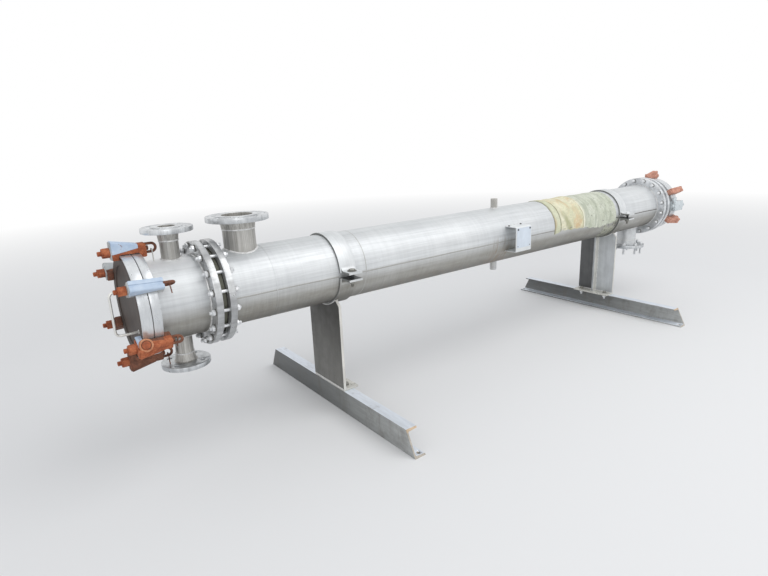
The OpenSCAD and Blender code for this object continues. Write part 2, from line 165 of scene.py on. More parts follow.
def plate(loops, z0, z1, bevel=0.8, steps=2):
    """Flat plate with holes: loops[0] is its outline and the others are holes."""
    bm = bmesh.new()
    fixed = []
    for i, loop in enumerate(loops):
        ccw = area2(loop) > 0
        fixed.append(list(loop) if ccw == (i == 0) else list(reversed(loop)))
    levels = []
    for s in range(steps + 1):
        a = math.pi / 2 * s / steps
        levels.append((z0 + bevel * (1 - math.sin(a)), bevel * (1 - math.cos(a))))
    rows = levels[::-1] + [(z1 - (z - z0), d) for z, d in levels]
    caps = ([], [])
    for loop in fixed:
        rings = []
        for z, d in rows:
            pts = inset(loop, d) if d else loop
            rings.append([bm.verts.new((p[0], p[1], z)) for p in pts])
        skin(bm, rings)
        caps[0].append(rings[0])
        caps[1].append(rings[-1])
    for k, normal in ((0, (0, 0, -1)), (1, (0, 0, 1))):
        edges = [bm.edges.get((ring[i], ring[(i + 1) % len(ring)]))
                 for ring in caps[k] for i in range(len(ring))]
        bmesh.ops.triangle_fill(bm, use_beauty=True, edges=edges, normal=normal)
    bmesh.ops.recalc_face_normals(bm, faces=bm.faces)
    return bm


def lathe(profile, n=48, closed=False):
    """Turns a profile of (radius, z) points round z. An open profile that
    starts or ends on the axis is closed there."""
    bm = bmesh.new()
    rings = []
    for r, z in profile:
        if r < 1e-6:
            rings.append([bm.verts.new((0, 0, z))])
        else:
            rings.append([bm.verts.new((x, y, z)) for x, y in circle(r, n)])
    pairs = list(zip(rings, rings[1:]))
    if closed:
        pairs.append((rings[-1], rings[0]))
    for a, b in pairs:
        for i in range(n):
            j = (i + 1) % n
            if len(a) == 1 and len(b) == 1:
                continue
            if len(a) == 1:
                bm.faces.new((a[0], b[j], b[i]))
            elif len(b) == 1:
                bm.faces.new((a[i], a[j], b[0]))
            else:
                bm.faces.new((a[i], a[j], b[j], b[i]))
    bmesh.ops.recalc_face_normals(bm, faces=bm.faces)
    return bm


def rounded(points, n=3):
    """Rounds each corner given as (r, z, radius) in a profile or outline."""
    out = []
    m = len(points)
    for i, p in enumerate(points):
        rad = p[2]
        if not rad:
            out.append((p[0], p[1]))
            continue
        a = Vector(points[i - 1][:2]) - Vector(p[:2])
        b = Vector(points[(i + 1) % m][:2]) - Vector(p[:2])
        half = a.angle(b) / 2
        cut = rad / math.tan(half)
        a.normalize()
        b.normalize()
        mid = (a + b).normalized()
        centre = Vector(p[:2]) + mid * (rad / math.sin(half))
        start = Vector(p[:2]) + a * cut - centre
        end = Vector(p[:2]) + b * cut - centre
        w = start.angle(end)
        for s in range(n + 1):
            t = s / n
            v = (start * math.sin((1 - t) * w) + end * math.sin(t * w)) / math.sin(w)
            out.append(tuple(centre + v))
    return out


def sweep(points, radius, n=12, closed=False, flat=1.0, radii=None, up=None):
    """Round bar along points; flat squeezes it along its local up axis."""
    bm = bmesh.new()
    pts = [Vector(p) for p in points]
    m = len(pts)
    rings = []
    normal = None
    for i, p in enumerate(pts):
        if closed:
            tangent = pts[(i + 1) % m] - pts[i - 1]
        else:
            tangent = pts[min(i + 1, m - 1)] - pts[max(i - 1, 0)]
        tangent.normalize()
        if up is not None:
            normal = Vector(up[i]) - tangent * tangent.dot(Vector(up[i]))
        elif normal is None:
            seed = Vector((0, 0, 1)) if abs(tangent.z) < 0.9 else Vector((1, 0, 0))
            normal = seed - tangent * tangent.dot(seed)
        else:
            normal = normal - tangent * tangent.dot(normal)
        normal.normalize()
        side = tangent.cross(normal)
        r = radii[i] if radii else radius
        rings.append([bm.verts.new(p + side * (r * math.cos(a)) + normal * (r * flat * math.sin(a)))
                      for a in turns(n)])
    skin(bm, rings + rings[:1] if closed else rings)
    if not closed:
        bm.faces.new(list(reversed(rings[0])))
        bm.faces.new(rings[-1])
    bmesh.ops.recalc_face_normals(bm, faces=bm.faces)
    return bm


def box(x0, x1, y0, y1, z0, z1, bevel=1.0, steps=2):
    bm = bmesh.new()
    bmesh.ops.create_cube(bm, size=1.0)
    for v in bm.verts:
        v.co = Vector((x0 + (v.co.x + 0.5) * (x1 - x0), y0 + (v.co.y + 0.5) * (y1 - y0),
                       z0 + (v.co.z + 0.5) * (z1 - z0)))
    bmesh.ops.bevel(bm, geom=list(bm.edges), offset=bevel, segments=steps,
                    profile=0.5, affect="EDGES", clamp_overlap=True)
    return bm


def loft(rings):
    """Closed body through rings with the same number of points."""
    bm = bmesh.new()
    rows = [[bm.verts.new(p) for p in ring] for ring in rings]
    skin(bm, rows)
    bm.faces.new(list(reversed(rows[0])))
    bm.faces.new(rows[-1])
    bmesh.ops.recalc_face_normals(bm, faces=bm.faces)
    return bm


def bead(points, r, ripple=0.16, pitch=5.0, closed=False, flat=0.8, up=None):
    """Weld bead: a bar whose radius swells with each ripple."""
    radii = []
    run = 0.0
    last = None
    for p in points:
        p = Vector(p)
        if last is not None:
            run += (p - last).length
        last = p
        radii.append(r * (1 + ripple * math.sin(2 * math.pi * run / pitch)
                          + 0.1 * ripple * math.sin(1.7 * run)))
    return sweep(points, r, n=8, closed=closed, flat=flat, radii=radii, up=up)


# Fasteners

def hex_prism(af, h, chamfer=0.12):
    """Hexagon nut or head with chamfered corners, from z = 0 to h."""
    bm = bmesh.new()
    rc = af / math.sqrt(3)
    c = af * chamfer
    rows = []
    for z, lim in ((0, af / 2 * 0.97), (c * 0.55, rc), (h - c * 0.55, rc), (h, af / 2 * 0.97)):
        ring = []
        for a in turns(24):
            k = (a + math.pi / 6) % (math.pi / 3) - math.pi / 6
            r = min(af / 2 / math.cos(k), lim)
            ring.append(bm.verts.new((r * math.cos(a), r * math.sin(a), z)))
        rows.append(ring)
    skin(bm, rows)
    bm.faces.new(list(reversed(rows[0])))
    bm.faces.new(rows[-1])
    return bm


def thread(r, z0, z1, pitch=1.75, n=16):
    """Threaded bar end from z0 to z1 with ridges and a chamfered tip."""
    profile = [(0, z0), (r * 0.86, z0)]
    z = z0 + 0.2
    while z + pitch < z1 - 1.2:
        profile += [(r * 0.86, z), (r, z + pitch * 0.35), (r, z + pitch * 0.6)]
        z += pitch
    profile += [(r * 0.86, z), (r * 0.98, z + 0.5), (r * 0.98, z1 - 1.0), (r * 0.8, z1), (0, z1)]
    return lathe(profile, n)


def disc(r, z0, z1, hole=0.0, edge=0.4):
    """Washer or plain disc with broken edges."""
    return lathe([(hole, z0), (r - edge, z0), (r, z0 + edge), (r, z1 - edge),
                  (r - edge, z1), (hole, z1)], 32, closed=hole > 0)


def shank(r, z0, z1, n=18):
    """Plain round bar from z0 to z1."""
    return lathe([(0, z0), (r, z0), (r, z1), (0, z1)], n)


# Materials

class Nodes:
    """Adds nodes to a tree and links them. An input is a number, a colour in
    linear light or the output of another node."""

    def __init__(self, tree):
        self.tree = tree

    def add(self, kind, inputs=(), **props):
        node = self.tree.nodes.new(kind)
        for key, value in props.items():
            setattr(node, key, value)
        for key, value in dict(inputs).items():
            if isinstance(value, bpy.types.NodeSocket):
                self.tree.links.new(value, node.inputs[key])
            else:
                node.inputs[key].default_value = value
        return node

    def math(self, operation, a, b=0.0, clamp=False):
        return self.add("ShaderNodeMath", {0: a, 1: b}, operation=operation,
                        use_clamp=clamp).outputs[0]

    def times(self, a, b, clamp=False):
        return self.math("MULTIPLY", a, b, clamp)

    def plus(self, a, b, clamp=False):
        return self.math("ADD", a, b, clamp)

    def minus(self, a, b):
        return self.math("SUBTRACT", a, b)

    def off(self, a, middle):
        """How far a value is from the middle, either way."""
        return self.math("ABSOLUTE", self.minus(a, middle))

    def seen(self):
        """1 for rays that show the background itself, 0 for its light."""
        path = self.add("ShaderNodeLightPath").outputs
        direct = self.math("MAXIMUM", path["Is Camera Ray"], path["Is Glossy Ray"])
        return self.math("MAXIMUM", direct, path["Is Transmission Ray"])


class Shader(Nodes):
    """One material, in the coordinates of its piece, which are metres."""

    def __init__(self, name, metallic, roughness):
        self.mat = bpy.data.materials.new(name)
        self.mat.use_nodes = True
        super().__init__(self.mat.node_tree)
        self.bsdf = self.tree.nodes["Principled BSDF"]
        self.bsdf.inputs["Metallic"].default_value = metallic
        self.bsdf.inputs["Roughness"].default_value = roughness
        self.coord = self.add("ShaderNodeTexCoord").outputs["Object"]

    def xyz(self):
        return self.add("ShaderNodeSeparateXYZ", {0: self.coord}).outputs

    def normal(self):
        normal = self.add("ShaderNodeNewGeometry").outputs["Normal"]
        return self.add("ShaderNodeSeparateXYZ", {0: normal}).outputs

    def noise(self, scale, detail, rough, stretch=(1, 1, 1), warp=0.0):
        vector = self.add("ShaderNodeMapping", {"Vector": self.coord, "Scale": stretch}).outputs[0]
        return self.add("ShaderNodeTexNoise", {
            "Vector": vector, "Scale": scale, "Detail": detail,
            "Roughness": rough, "Distortion": warp}).outputs["Fac"]

    def wander(self, reach, *noise):
        """Noise round zero, for a line that isn't quite straight."""
        return self.times(self.minus(self.noise(*noise), 0.5), reach)

    def ramp(self, value, *stops):
        node = self.add("ShaderNodeValToRGB", {"Fac": value})
        elements = node.color_ramp.elements
        while len(elements) < len(stops):
            elements.new(0.5)
        for element, (position, tone) in zip(elements, stops):
            element.position = position
            element.color = (tone if isinstance(tone, tuple) else (tone,) * 3) + (1.0,)
        return node.outputs["Color"]

    def mix(self, share, a, b, mode="MIX"):
        a, b = (v + (1.0,) if isinstance(v, tuple) else v for v in (a, b))
        return self.add("ShaderNodeMix", {0: share, 6: a, 7: b}, data_type="RGBA",
                        blend_type=mode).outputs[2]

    def shade(self, tone, share, value, *stops):
        """Darkens the tone by a ramp of the value."""
        return self.mix(share, tone, self.ramp(value, *stops), "MULTIPLY")

    def stain(self, tone, mask, share, colour):
        """Lays a colour on the tone, as far as the mask and the share go."""
        return self.mix(self.times(mask, share), tone, srgb(*colour))

    def bump(self, height, strength, distance, base=None):
        inputs = {"Height": height, "Strength": strength, "Distance": distance}
        if base is not None:
            inputs["Normal"] = base
        return self.add("ShaderNodeBump", inputs).outputs[0]

    def done(self, tone, bump, roughness=None):
        """Links what was made to the shader and gives the material."""
        for name, value in (("Base Color", tone), ("Roughness", roughness), ("Normal", bump)):
            if value is not None:
                self.tree.links.new(value, self.bsdf.inputs[name])
        return self.mat


def srgb(r, g, b):
    return tuple(c / 255 / 12.92 if c <= 10 else ((c / 255 + 0.055) / 1.055) ** 2.4
                 for c in (r, g, b))


def weathering_and_painted_light(s, tone):
    """Grey film on top, but not on the channel's barrel, whose top gets a painted highlight
    instead, and a warmer, darker underside with fine runs: grime laid over painted shade."""
    nz = s.normal()[2]
    top = s.ramp(nz, (0.74, 0.0), (1.0, 1.0))
    # Painted highlight: the top of the channel's barrel is painted near white.
    barrel = s.math("LESS_THAN", s.xyz()[0], -1.46)
    tone = s.stain(tone, s.times(top, barrel), 0.8, (250, 251, 252))
    top = s.times(top, s.minus(1.0, barrel))
    film = s.ramp(s.noise(9, 5, 0.7, (0.4, 1, 1)), (0.3, 0.7), (0.65, 1.0))
    tone = s.stain(tone, s.times(top, film), 0.26, (172, 176, 175))
    # Faces that look down get warm grime with painted shade.
    low = s.plus(s.times(nz, -2.4), 0.1, clamp=True)
    grime_and_shade = s.ramp(s.noise(8, 5, 0.7, (0.4, 1, 1)), (0.3, 0.6), (0.65, 1.0))
    tone = s.stain(tone, s.times(grime_and_shade, low), 0.84, (142, 137, 125))
    # Painted shade: faces that look down are darkened further.
    under = s.times(s.plus(s.times(nz, -1.0), -0.5), 2.4, clamp=True)
    tone = s.stain(tone, under, 0.78, (94, 90, 82))
    runs = s.noise(1.0, 5, 0.75, (120, 9, 9), 0.2)
    return s.shade(tone, s.times(s.plus(low, 0.35), 0.17), runs, (0.4, 0.55), (0.62, 1.0))


def shell_steel():
    """Pickled stainless pipe: pale and softly streaked, warmer below, where painted shade darkens
    it.
    """
    s = Shader("shell_steel", 0.38, 0.46)
    tone = s.ramp(s.noise(2.4, 4, 0.6), (0.3, srgb(214, 217, 219)), (0.7, srgb(231, 233, 234)))
    tone = s.shade(tone, 0.26, s.noise(1.0, 5, 0.7, (1.1, 55, 55)), (0.32, 0.42), (0.62, 1.0))
    tone = s.shade(tone, 0.14, s.noise(1.0, 3, 0.6, (5, 260, 260)), (0.35, 0.4), (0.6, 1.0))
    tone = s.shade(tone, 0.1, s.noise(1.0, 3, 0.6, (60, 2.5, 2.5)), (0.35, 0.45), (0.65, 1.0))
    spots = s.ramp(s.noise(60, 5, 0.7, (0.5, 1, 1)), (0.67, 0.0), (0.75, 1.0))
    tone = weathering_and_painted_light(s, s.stain(tone, spots, 0.3, (138, 134, 126)))
    # Bits of wrap left on the front below it, next to the far strap.
    x, y, z = s.xyz()
    near = s.ramp(s.times(s.off(x, 0.955), 5.0), (0.25, 1.0), (0.55, 0.0))
    near = s.times(near, s.ramp(z, (0.575, 1.0), (0.605, 0.0)))
    near = s.times(near, s.math("LESS_THAN", y, 0.0))
    left = s.ramp(s.noise(26, 4, 0.7, warp=0.4), (0.42, 0.0), (0.52, 1.0))
    tone = s.stain(tone, s.times(near, left), 0.7, (176, 178, 156))
    bits = s.ramp(s.noise(48, 5, 0.75, warp=0.5), (0.52, 0.0), (0.57, 1.0))
    tone = s.stain(tone, s.times(near, bits), 0.8, (74, 72, 62))
    # Brown runs beside the data plate's bracket.
    near = s.math("ABSOLUTE", s.plus(x, 0.0145))
    near = s.ramp(s.times(near, 8.0), (0.3, 1.0), (0.8, 0.0))
    front = s.times(s.ramp(y, (0.0, 1.0), (0.01, 0.0)), s.ramp(z, (0.585, 1.0), (0.62, 0.0)))
    runs = s.ramp(s.noise(1.0, 5, 0.75, (64, 8, 8), 0.3), (0.46, 0.0), (0.58, 1.0))
    tone = s.stain(tone, s.times(s.times(near, front), runs), 0.5, (140, 116, 90))
    dents = s.bump(s.noise(7.0, 2, 0.5), 0.2, 0.003)
    fine = s.bump(s.noise(1.0, 2, 0.5, (30, 420, 420)), 0.06, 0.0006, dents)
    return s.done(tone, fine, s.ramp(s.noise(18, 4, 0.6), (0.3, 0.4), (0.75, 0.56)))


def turned_steel(name, dark=(202, 205, 208), light=(228, 231, 233), grain=(600, 40, 40),
                 bands=None, metallic=0.72):
    """Bright turned stainless with fine rings round its axis. Bands are darker places across the
    rim: painted reflections."""
    s = Shader(name, metallic, 0.3)
    tone = s.ramp(s.noise(14, 4, 0.6), (0.3, srgb(*dark)), (0.7, srgb(*light)))
    # Painted reflections: darker bands across the rim.
    if bands:
        tone = s.shade(tone, 0.5, s.noise(1.0, 4, 0.65, bands), (0.4, 0.5), (0.56, 1.0))
    fine = s.noise(1.0, 2, 0.5, grain)
    tone = s.shade(tone, 0.18, fine, (0.35, 0.4), (0.65, 0.9))
    marks = s.ramp(s.noise(70, 4, 0.7), (0.64, 0.0), (0.72, 1.0))
    tone = s.stain(tone, marks, 0.3, (126, 122, 116))
    return s.done(tone, s.bump(fine, 0.05, 0.0004),
                  s.ramp(s.noise(30, 3, 0.6), (0.3, 0.26), (0.7, 0.42)))


def neck_steel():
    """Brushed nozzle necks: warm grey, streaked up and down."""
    s = Shader("neck_steel", 0.55, 0.4)
    streak = s.noise(1.0, 4, 0.7, (240, 240, 4))
    tone = s.ramp(streak, (0.32, srgb(154, 151, 145)), (0.52, srgb(190, 188, 183)),
                  (0.7, srgb(214, 213, 209)))
    tone = s.shade(tone, 0.6, s.noise(24, 4, 0.6), (0.35, 0.78), (0.65, 1.0))
    return s.done(tone, s.bump(streak, 0.06, 0.0004),
                  s.ramp(s.noise(30, 3, 0.6), (0.3, 0.32), (0.7, 0.5)))


def strap_steel():
    """Straps of the shell's steel, with painted shade on their undersides, on the faces that look
    along the shell, and on the ears' faces that look into the gap between them."""
    s = Shader("strap_steel", 0.35, 0.48)
    nx, _, nz = s.normal()
    tone = s.ramp(s.noise(14, 4, 0.6), (0.3, srgb(212, 215, 216)), (0.7, srgb(232, 234, 235)))
    tone = s.shade(tone, 0.2, s.noise(1.0, 3, 0.6, (120, 3, 3)), (0.35, 0.5), (0.65, 1.0))
    tone = weathering_and_painted_light(s, tone)
    # Painted shade on faces that look down.
    below = s.times(s.plus(nz, 0.25), -2.2, clamp=True)
    tone = s.stain(tone, below, 0.5, (72, 70, 62))
    # Painted shade: faces that look along the shell, the strap's sides and the ears' faces, are
    # painted dark grey.
    edge = s.math("GREATER_THAN", s.math("ABSOLUTE", nx), 0.75)
    tone = s.stain(tone, edge, 0.85, (104, 105, 102))
    # Painted shade in the gap between the ears, on the faces that look into it.
    level = s.math("GREATER_THAN", s.math("ABSOLUTE", nz), 0.8)
    between = s.times(level, s.math("LESS_THAN", s.off(s.xyz()[2], 0.589), 0.0112))
    tone = s.stain(tone, between, 0.9, (52, 52, 50))
    return s.done(tone, s.bump(s.noise(300, 3, 0.6), 0.08, 0.0004))


def dull_steel():
    """Dark brown face of a cover, rusty in places."""
    s = Shader("dull_steel", 0.3, 0.6)
    tone = s.ramp(s.noise(11, 5, 0.65, warp=0.6), (0.3, srgb(48, 42, 39)),
                  (0.55, srgb(64, 55, 50)), (0.75, srgb(84, 74, 68)))
    rust = s.ramp(s.noise(19, 5, 0.7), (0.58, 0.0), (0.7, 1.0))
    tone = s.stain(tone, rust, 0.5, (104, 70, 56))
    return s.done(tone, s.bump(s.noise(160, 3, 0.6), 0.12, 0.0006))


def rusty_steel(name, *colours):
    """Rough rust from its light dust to its dark pits."""
    light, mid, dark = (srgb(*colour) for colour in colours)
    s = Shader(name, 0.0, 0.88)
    tone = s.ramp(s.noise(38, 6, 0.7, warp=0.4), (0.28, dark), (0.48, mid), (0.72, light))
    dust = s.ramp(s.noise(150, 4, 0.7), (0.55, 0.0), (0.7, 1.0))
    tone = s.stain(tone, dust, 0.55, colours[0])
    broad = s.bump(s.noise(55, 3, 0.6), 0.3, 0.002)
    return s.done(tone, s.bump(s.noise(240, 5, 0.7), 0.45, 0.0012, broad),
                  s.ramp(s.noise(60, 3, 0.6), (0.3, 0.72), (0.7, 0.95)))


def worn_paint(name, paint, pale):
    """Light paint, dusty and chipped down to rust in places."""
    s = Shader(name, 0.0, 0.55)
    tone = s.ramp(s.noise(26, 4, 0.6), (0.35, srgb(*paint)), (0.68, srgb(*pale)))
    chips = s.ramp(s.noise(44, 6, 0.75, warp=0.5), (0.63, 0.0), (0.66, 1.0))
    rust = s.ramp(s.noise(130, 4, 0.7), (0.3, srgb(96, 52, 32)), (0.7, srgb(176, 98, 58)))
    grain = s.bump(s.noise(180, 3, 0.6), 0.12, 0.0006)
    return s.done(s.mix(chips, tone, rust), s.bump(chips, -0.5, 0.0006, grain),
                  s.ramp(chips, (0.0, 0.5), (1.0, 0.9)))


def plate_steel(name, face, edge, axis="X", behind=None, shaded=None):
    """Rolled plate: dull scratched faces and brighter cut edges. Behind is the colour of a face's
    back half, painted shade behind the rib, and shaded the colour of the painted shade that it
    reaches toward its top."""
    s = Shader(name, 0.3, 0.5)
    flat = s.math("GREATER_THAN", s.math("ABSOLUTE", s.normal()["XYZ".index(axis)]), 0.7)
    _, y, z = s.xyz()
    face = srgb(*face)
    # Painted shade on the face's back half, behind the rib.
    if behind:
        wavy = s.plus(y, s.times(s.noise(9, 4, 0.6), 0.03))
        face = s.mix(s.ramp(wavy, (0.008, 0.0), (0.03, 1.0)), face, srgb(*behind))
    # Painted shade, darker toward the top.
    if shaded:
        face = s.mix(s.ramp(z, (0.16, 0.0), (0.42, 1.0)), face, srgb(*shaded))
    streak = s.noise(1.0, 5, 0.65, (40, 40, 3))
    tone = s.mix(flat, srgb(*edge), face)
    tone = s.shade(tone, 0.35, streak, (0.35, 0.45), (0.65, 0.9))
    tone = s.shade(tone, 0.3, s.noise(12, 5, 0.65), (0.35, 0.5), (0.65, 1.0))
    if axis == "Z":
        specks = s.ramp(s.noise(130, 4, 0.7), (0.56, 0.0), (0.62, 1.0))
        tone = s.stain(tone, specks, 0.55, (112, 106, 92))
    grain = s.bump(s.noise(220, 2, 0.5), 0.06, 0.0004)
    return s.done(tone, s.bump(streak, 0.1, 0.0006, grain),
                  s.ramp(s.noise(25, 3, 0.6), (0.3, 0.4), (0.7, 0.62)))


def channel_steel():
    """Scratched pale channel with tan cut ends: painted light makes its top bluish white, and
    painted shade greys its web.
    """
    s = Shader("channel_steel", 0.45, 0.48)
    _, ny, nz = s.normal()
    _, y, z = s.xyz()
    top = s.math("GREATER_THAN", nz, 0.7)
    end = s.math("GREATER_THAN", s.math("ABSOLUTE", ny), 0.6)
    # The web is painted darker behind the leg than at its front end: painted shade.
    web = s.ramp(s.plus(y, 0.6), (0.08, srgb(188, 190, 189)), (0.42, srgb(154, 156, 155)),
                 (0.5, srgb(140, 142, 141)), (0.75, srgb(120, 122, 122)))
    # Painted light: the top faces are bluish white.
    tone = s.mix(top, web, srgb(226, 232, 240))
    tip = s.mix(s.math("GREATER_THAN", z, 0.085), srgb(196, 188, 176), srgb(216, 192, 164))
    tone = s.mix(end, tone, tip)
    stains = s.ramp(s.noise(1.0, 5, 0.72, (30, 22, 9), 0.5), (0.5, 0.0), (0.66, 1.0))
    tone = s.stain(tone, s.times(stains, s.minus(1.0, top)), 0.34, (112, 104, 94))
    scratches = s.noise(1.0, 5, 0.7, (90, 9, 90))
    worn = s.minus(0.4, s.times(top, 0.16))
    tone = s.shade(tone, worn, scratches, (0.36, 0.42), (0.6, 0.95))
    blots = s.ramp(s.noise(15, 5, 0.7), (0.55, 0.0), (0.75, 1.0))
    tone = s.stain(tone, blots, 0.45, (112, 108, 100))
    return s.done(tone, s.bump(scratches, 0.12, 0.0005),
                  s.ramp(scratches, (0.3, 0.36), (0.7, 0.6)))


def seam_line():
    """Long weld of the pipe: a thin line, darker toward the far end."""
    s = Shader("seam_line", 0.3, 0.55)
    along = s.plus(s.times(s.xyz()[0], 0.5), 0.5)
    tone = s.ramp(along, (0.5, srgb(176, 175, 171)), (0.99, srgb(116, 115, 111)))
    tone = s.shade(tone, 0.4, s.noise(60, 4, 0.7), (0.35, 0.6), (0.65, 1.0))
    return s.done(tone, s.bump(s.noise(300, 3, 0.6), 0.2, 0.0005))


def weld_metal():
    s = Shader("weld_metal", 0.45, 0.4)
    tone = s.ramp(s.noise(90, 3, 0.6), (0.3, srgb(196, 196, 195)), (0.7, srgb(238, 238, 237)))
    return s.done(tone, s.bump(s.noise(420, 3, 0.6), 0.3, 0.0006))


def bolt_steel():
    s = Shader("bolt_steel", 0.5, 0.34)
    tone = s.ramp(s.noise(60, 3, 0.6), (0.3, srgb(210, 212, 214)), (0.7, srgb(244, 245, 246)))
    return s.done(tone, s.bump(s.noise(500, 2, 0.5), 0.1, 0.0003),
                  s.ramp(s.noise(90, 3, 0.6), (0.3, 0.24), (0.7, 0.42)))


def wrap_residue():
    """Weathered wrap stuck to the shell: yellowish with tan stains toward the
    channel end, grey-green with dark specks toward the far strap."""
    s = Shader("wrap_residue", 0.0, 0.8)
    x, y, z = s.xyz()
    place = s.plus(x, s.wander(0.05, 12, 4, 0.6))
    far = s.ramp(s.times(s.minus(place, 0.6), 4.0), (0.22, 0.0), (0.36, 1.0))
    yellow = s.ramp(s.noise(11, 5, 0.65, warp=0.6), (0.3, srgb(208, 208, 176)),
                    (0.52, srgb(224, 220, 190)), (0.72, srgb(230, 226, 204)))
    grey = s.ramp(s.noise(13, 5, 0.65, warp=0.5), (0.3, srgb(190, 196, 176)),
                  (0.52, srgb(206, 210, 194)), (0.72, srgb(218, 220, 208)))
    tone = s.mix(far, yellow, grey)
    tone = s.stain(tone, s.ramp(x, (0.452, 1.0), (0.456, 0.0)), 0.5, (196, 202, 176))
    tan = s.ramp(s.noise(6.5, 5, 0.62, (1.6, 0.8, 0.8), 0.7), (0.56, 0.0), (0.68, 1.0))
    tone = s.stain(tone, s.times(tan, s.minus(1.0, far)), 0.6, (206, 170, 120))
    veins = s.ramp(s.noise(30, 6, 0.75, (0.7, 1.2, 1.2), 0.8), (0.44, 0.0), (0.5, 1.0),
                   (0.56, 0.0))
    tone = s.stain(tone, veins, 0.35, (166, 166, 144))
    specks = s.ramp(s.noise(80, 4, 0.7), (0.61, 0.0), (0.67, 1.0))
    tone = s.stain(tone, s.times(specks, far), 0.75, (104, 106, 92))
    # Grey curved bands toward the far strap.
    bands = s.ramp(s.noise(1.0, 5, 0.66, (40, 8, 8), 0.4), (0.48, 0.0), (0.6, 1.0))
    tone = s.stain(tone, s.times(bands, far), 0.55, (152, 158, 140))
    # Olive stain behind the taut band, widening toward its lower edge.
    slope = s.minus(s.plus(x, s.times(s.minus(z, 0.6), 0.52)), 0.524)
    slope = s.plus(slope, s.wander(0.035, 16, 4, 0.6))
    olive = s.ramp(s.times(s.math("ABSOLUTE", slope), 10.0), (0.1, 1.0), (0.3, 0.0))
    olive = s.times(olive, s.ramp(z, (0.64, 1.0), (0.7, 0.0)))
    tone = s.stain(tone, olive, 0.62, (150, 152, 112))
    # Rusty patch low in front.
    dx = s.math("DIVIDE", s.minus(x, 0.612), 0.04)
    dz = s.math("DIVIDE", s.minus(z, 0.606), 0.042)
    patch = s.plus(s.times(dx, dx), s.times(dz, dz))
    patch = s.plus(patch, s.wander(3.4, 38, 5, 0.7))
    patch = s.times(s.ramp(patch, (0.0, 1.0), (1.0, 0.0)), s.math("LESS_THAN", y, 0.0))
    tone = s.stain(tone, patch, 0.5, (208, 164, 112))
    # Dark lines in the valley behind the taut band and along the torn end: painted shade.
    wave = s.plus(x, s.wander(0.012, 24, 3, 0.6))
    line = s.ramp(s.times(s.off(wave, 0.4545), 100.0), (0.25, 1.0), (0.65, 0.0))
    tone = s.stain(tone, line, 0.72, (118, 116, 88))
    first = s.ramp(wave, (0.405, 1.0), (0.4085, 0.0))
    tone = s.stain(tone, first, 0.62, (126, 122, 98))
    # Fold across the middle: a brown line of painted shade before it, and a painted highlight on
    # its pale crest.
    for middle, wide, share, fold_light_colour in ((0.658, 0.6, 0.5, (150, 138, 104)),
                                     (0.6665, 0.9, 0.7, (240, 238, 226))):
        crest = s.ramp(s.times(s.off(wave, middle), 100.0), (0.2 * wide, 1.0), (0.6 * wide, 0.0))
        tone = s.stain(tone, crest, share, fold_light_colour)
    creases = s.bump(s.noise(26, 4, 0.65, (1.6, 0.5, 0.5), 1.2), 0.45, 0.004)
    return s.done(tone, s.bump(s.noise(70, 5, 0.7, warp=0.6), 0.35, 0.002, creases))


def plain(name, colour, rough, metallic=0.0, grain=200.0, depth=0.1, spread=0.06):
    """Simple finish with a little tone and surface grain."""
    s = Shader(name, metallic, rough)
    low = tuple(c * (1 - spread) for c in srgb(*colour))
    high = tuple(min(1.0, c * (1 + spread)) for c in srgb(*colour))
    tone = s.ramp(s.noise(grain * 0.2, 3, 0.6), (0.3, low), (0.7, high))
    return s.done(tone, s.bump(s.noise(grain, 3, 0.6), depth, 0.0005))


SHELL = shell_steel()
TURNED_X = turned_steel("machined_steel_x")
TURNED_Z = turned_steel("machined_steel_z", (186, 189, 192), (232, 235, 237), (40, 40, 600),
                        (52, 52, 3))
# The near girth flanges take a darker copy of the turned steel, painted shade, and the far ones a
# lighter copy, painted light.
GIRTH = turned_steel("machined_steel_girth_painted_shade", (184, 185, 186), (220, 222, 223), bands=(3, 34, 34))
GIRTH_FAR = turned_steel("machined_steel_far_painted_light", (214, 217, 220), (244, 246, 248),
                         bands=(3, 20, 20), metallic=0.35)
NECK = neck_steel()
STRAP = strap_steel()
DULL = dull_steel()
RUST = rusty_steel("rusty_steel", (200, 124, 84), (160, 86, 54), (98, 58, 42))
RUST_DARK = rusty_steel("rusty_dark", (146, 96, 74), (108, 70, 54), (64, 46, 40))
RUST_PALE = rusty_steel("rusty_pale", (214, 164, 128), (188, 126, 92), (126, 78, 56))
RUST_PINK = rusty_steel("rusty_pink", (222, 176, 156), (196, 140, 120), (138, 96, 82))
BLUE = worn_paint("worn_blue", (170, 189, 212), (198, 212, 228))
PALE = worn_paint("worn_pale", (190, 198, 201), (214, 221, 224))
FADED = worn_paint("faded_paint", (158, 163, 166), (190, 193, 192))
# The near leg's faces are painted dark grey and darker toward the top, and the far leg's back half
# dark: painted shade.
LEG_NEAR = plate_steel("leg_near_painted_shade", (134, 133, 129), (236, 234, 228), shaded=(78, 77, 74))
LEG_FAR = plate_steel("leg_far_painted_shade", (212, 216, 219), (236, 235, 228), behind=(104, 105, 106))
FOOT = plate_steel("foot_plate", (222, 221, 214), (226, 225, 218), "Z")
CHANNEL = channel_steel()
WELD = weld_metal()
SEAM = seam_line()
BOLT = bolt_steel()
WRAP = wrap_residue()
EDGE = plain("pale_edge", (206, 206, 200), 0.5, 0.3, 160)
# The tubesheets are painted dark olive: painted shade and painted reflection in the gap between the
# girth flanges.
SHEET_RIM = plain("sheet_rim_painted_shade", (112, 112, 100), 0.6, 0.3, 120, 0.15)
SEAM_ROUND = plain("round_seam", (180, 180, 177), 0.55, 0.3, 200, 0.15, 0.12)
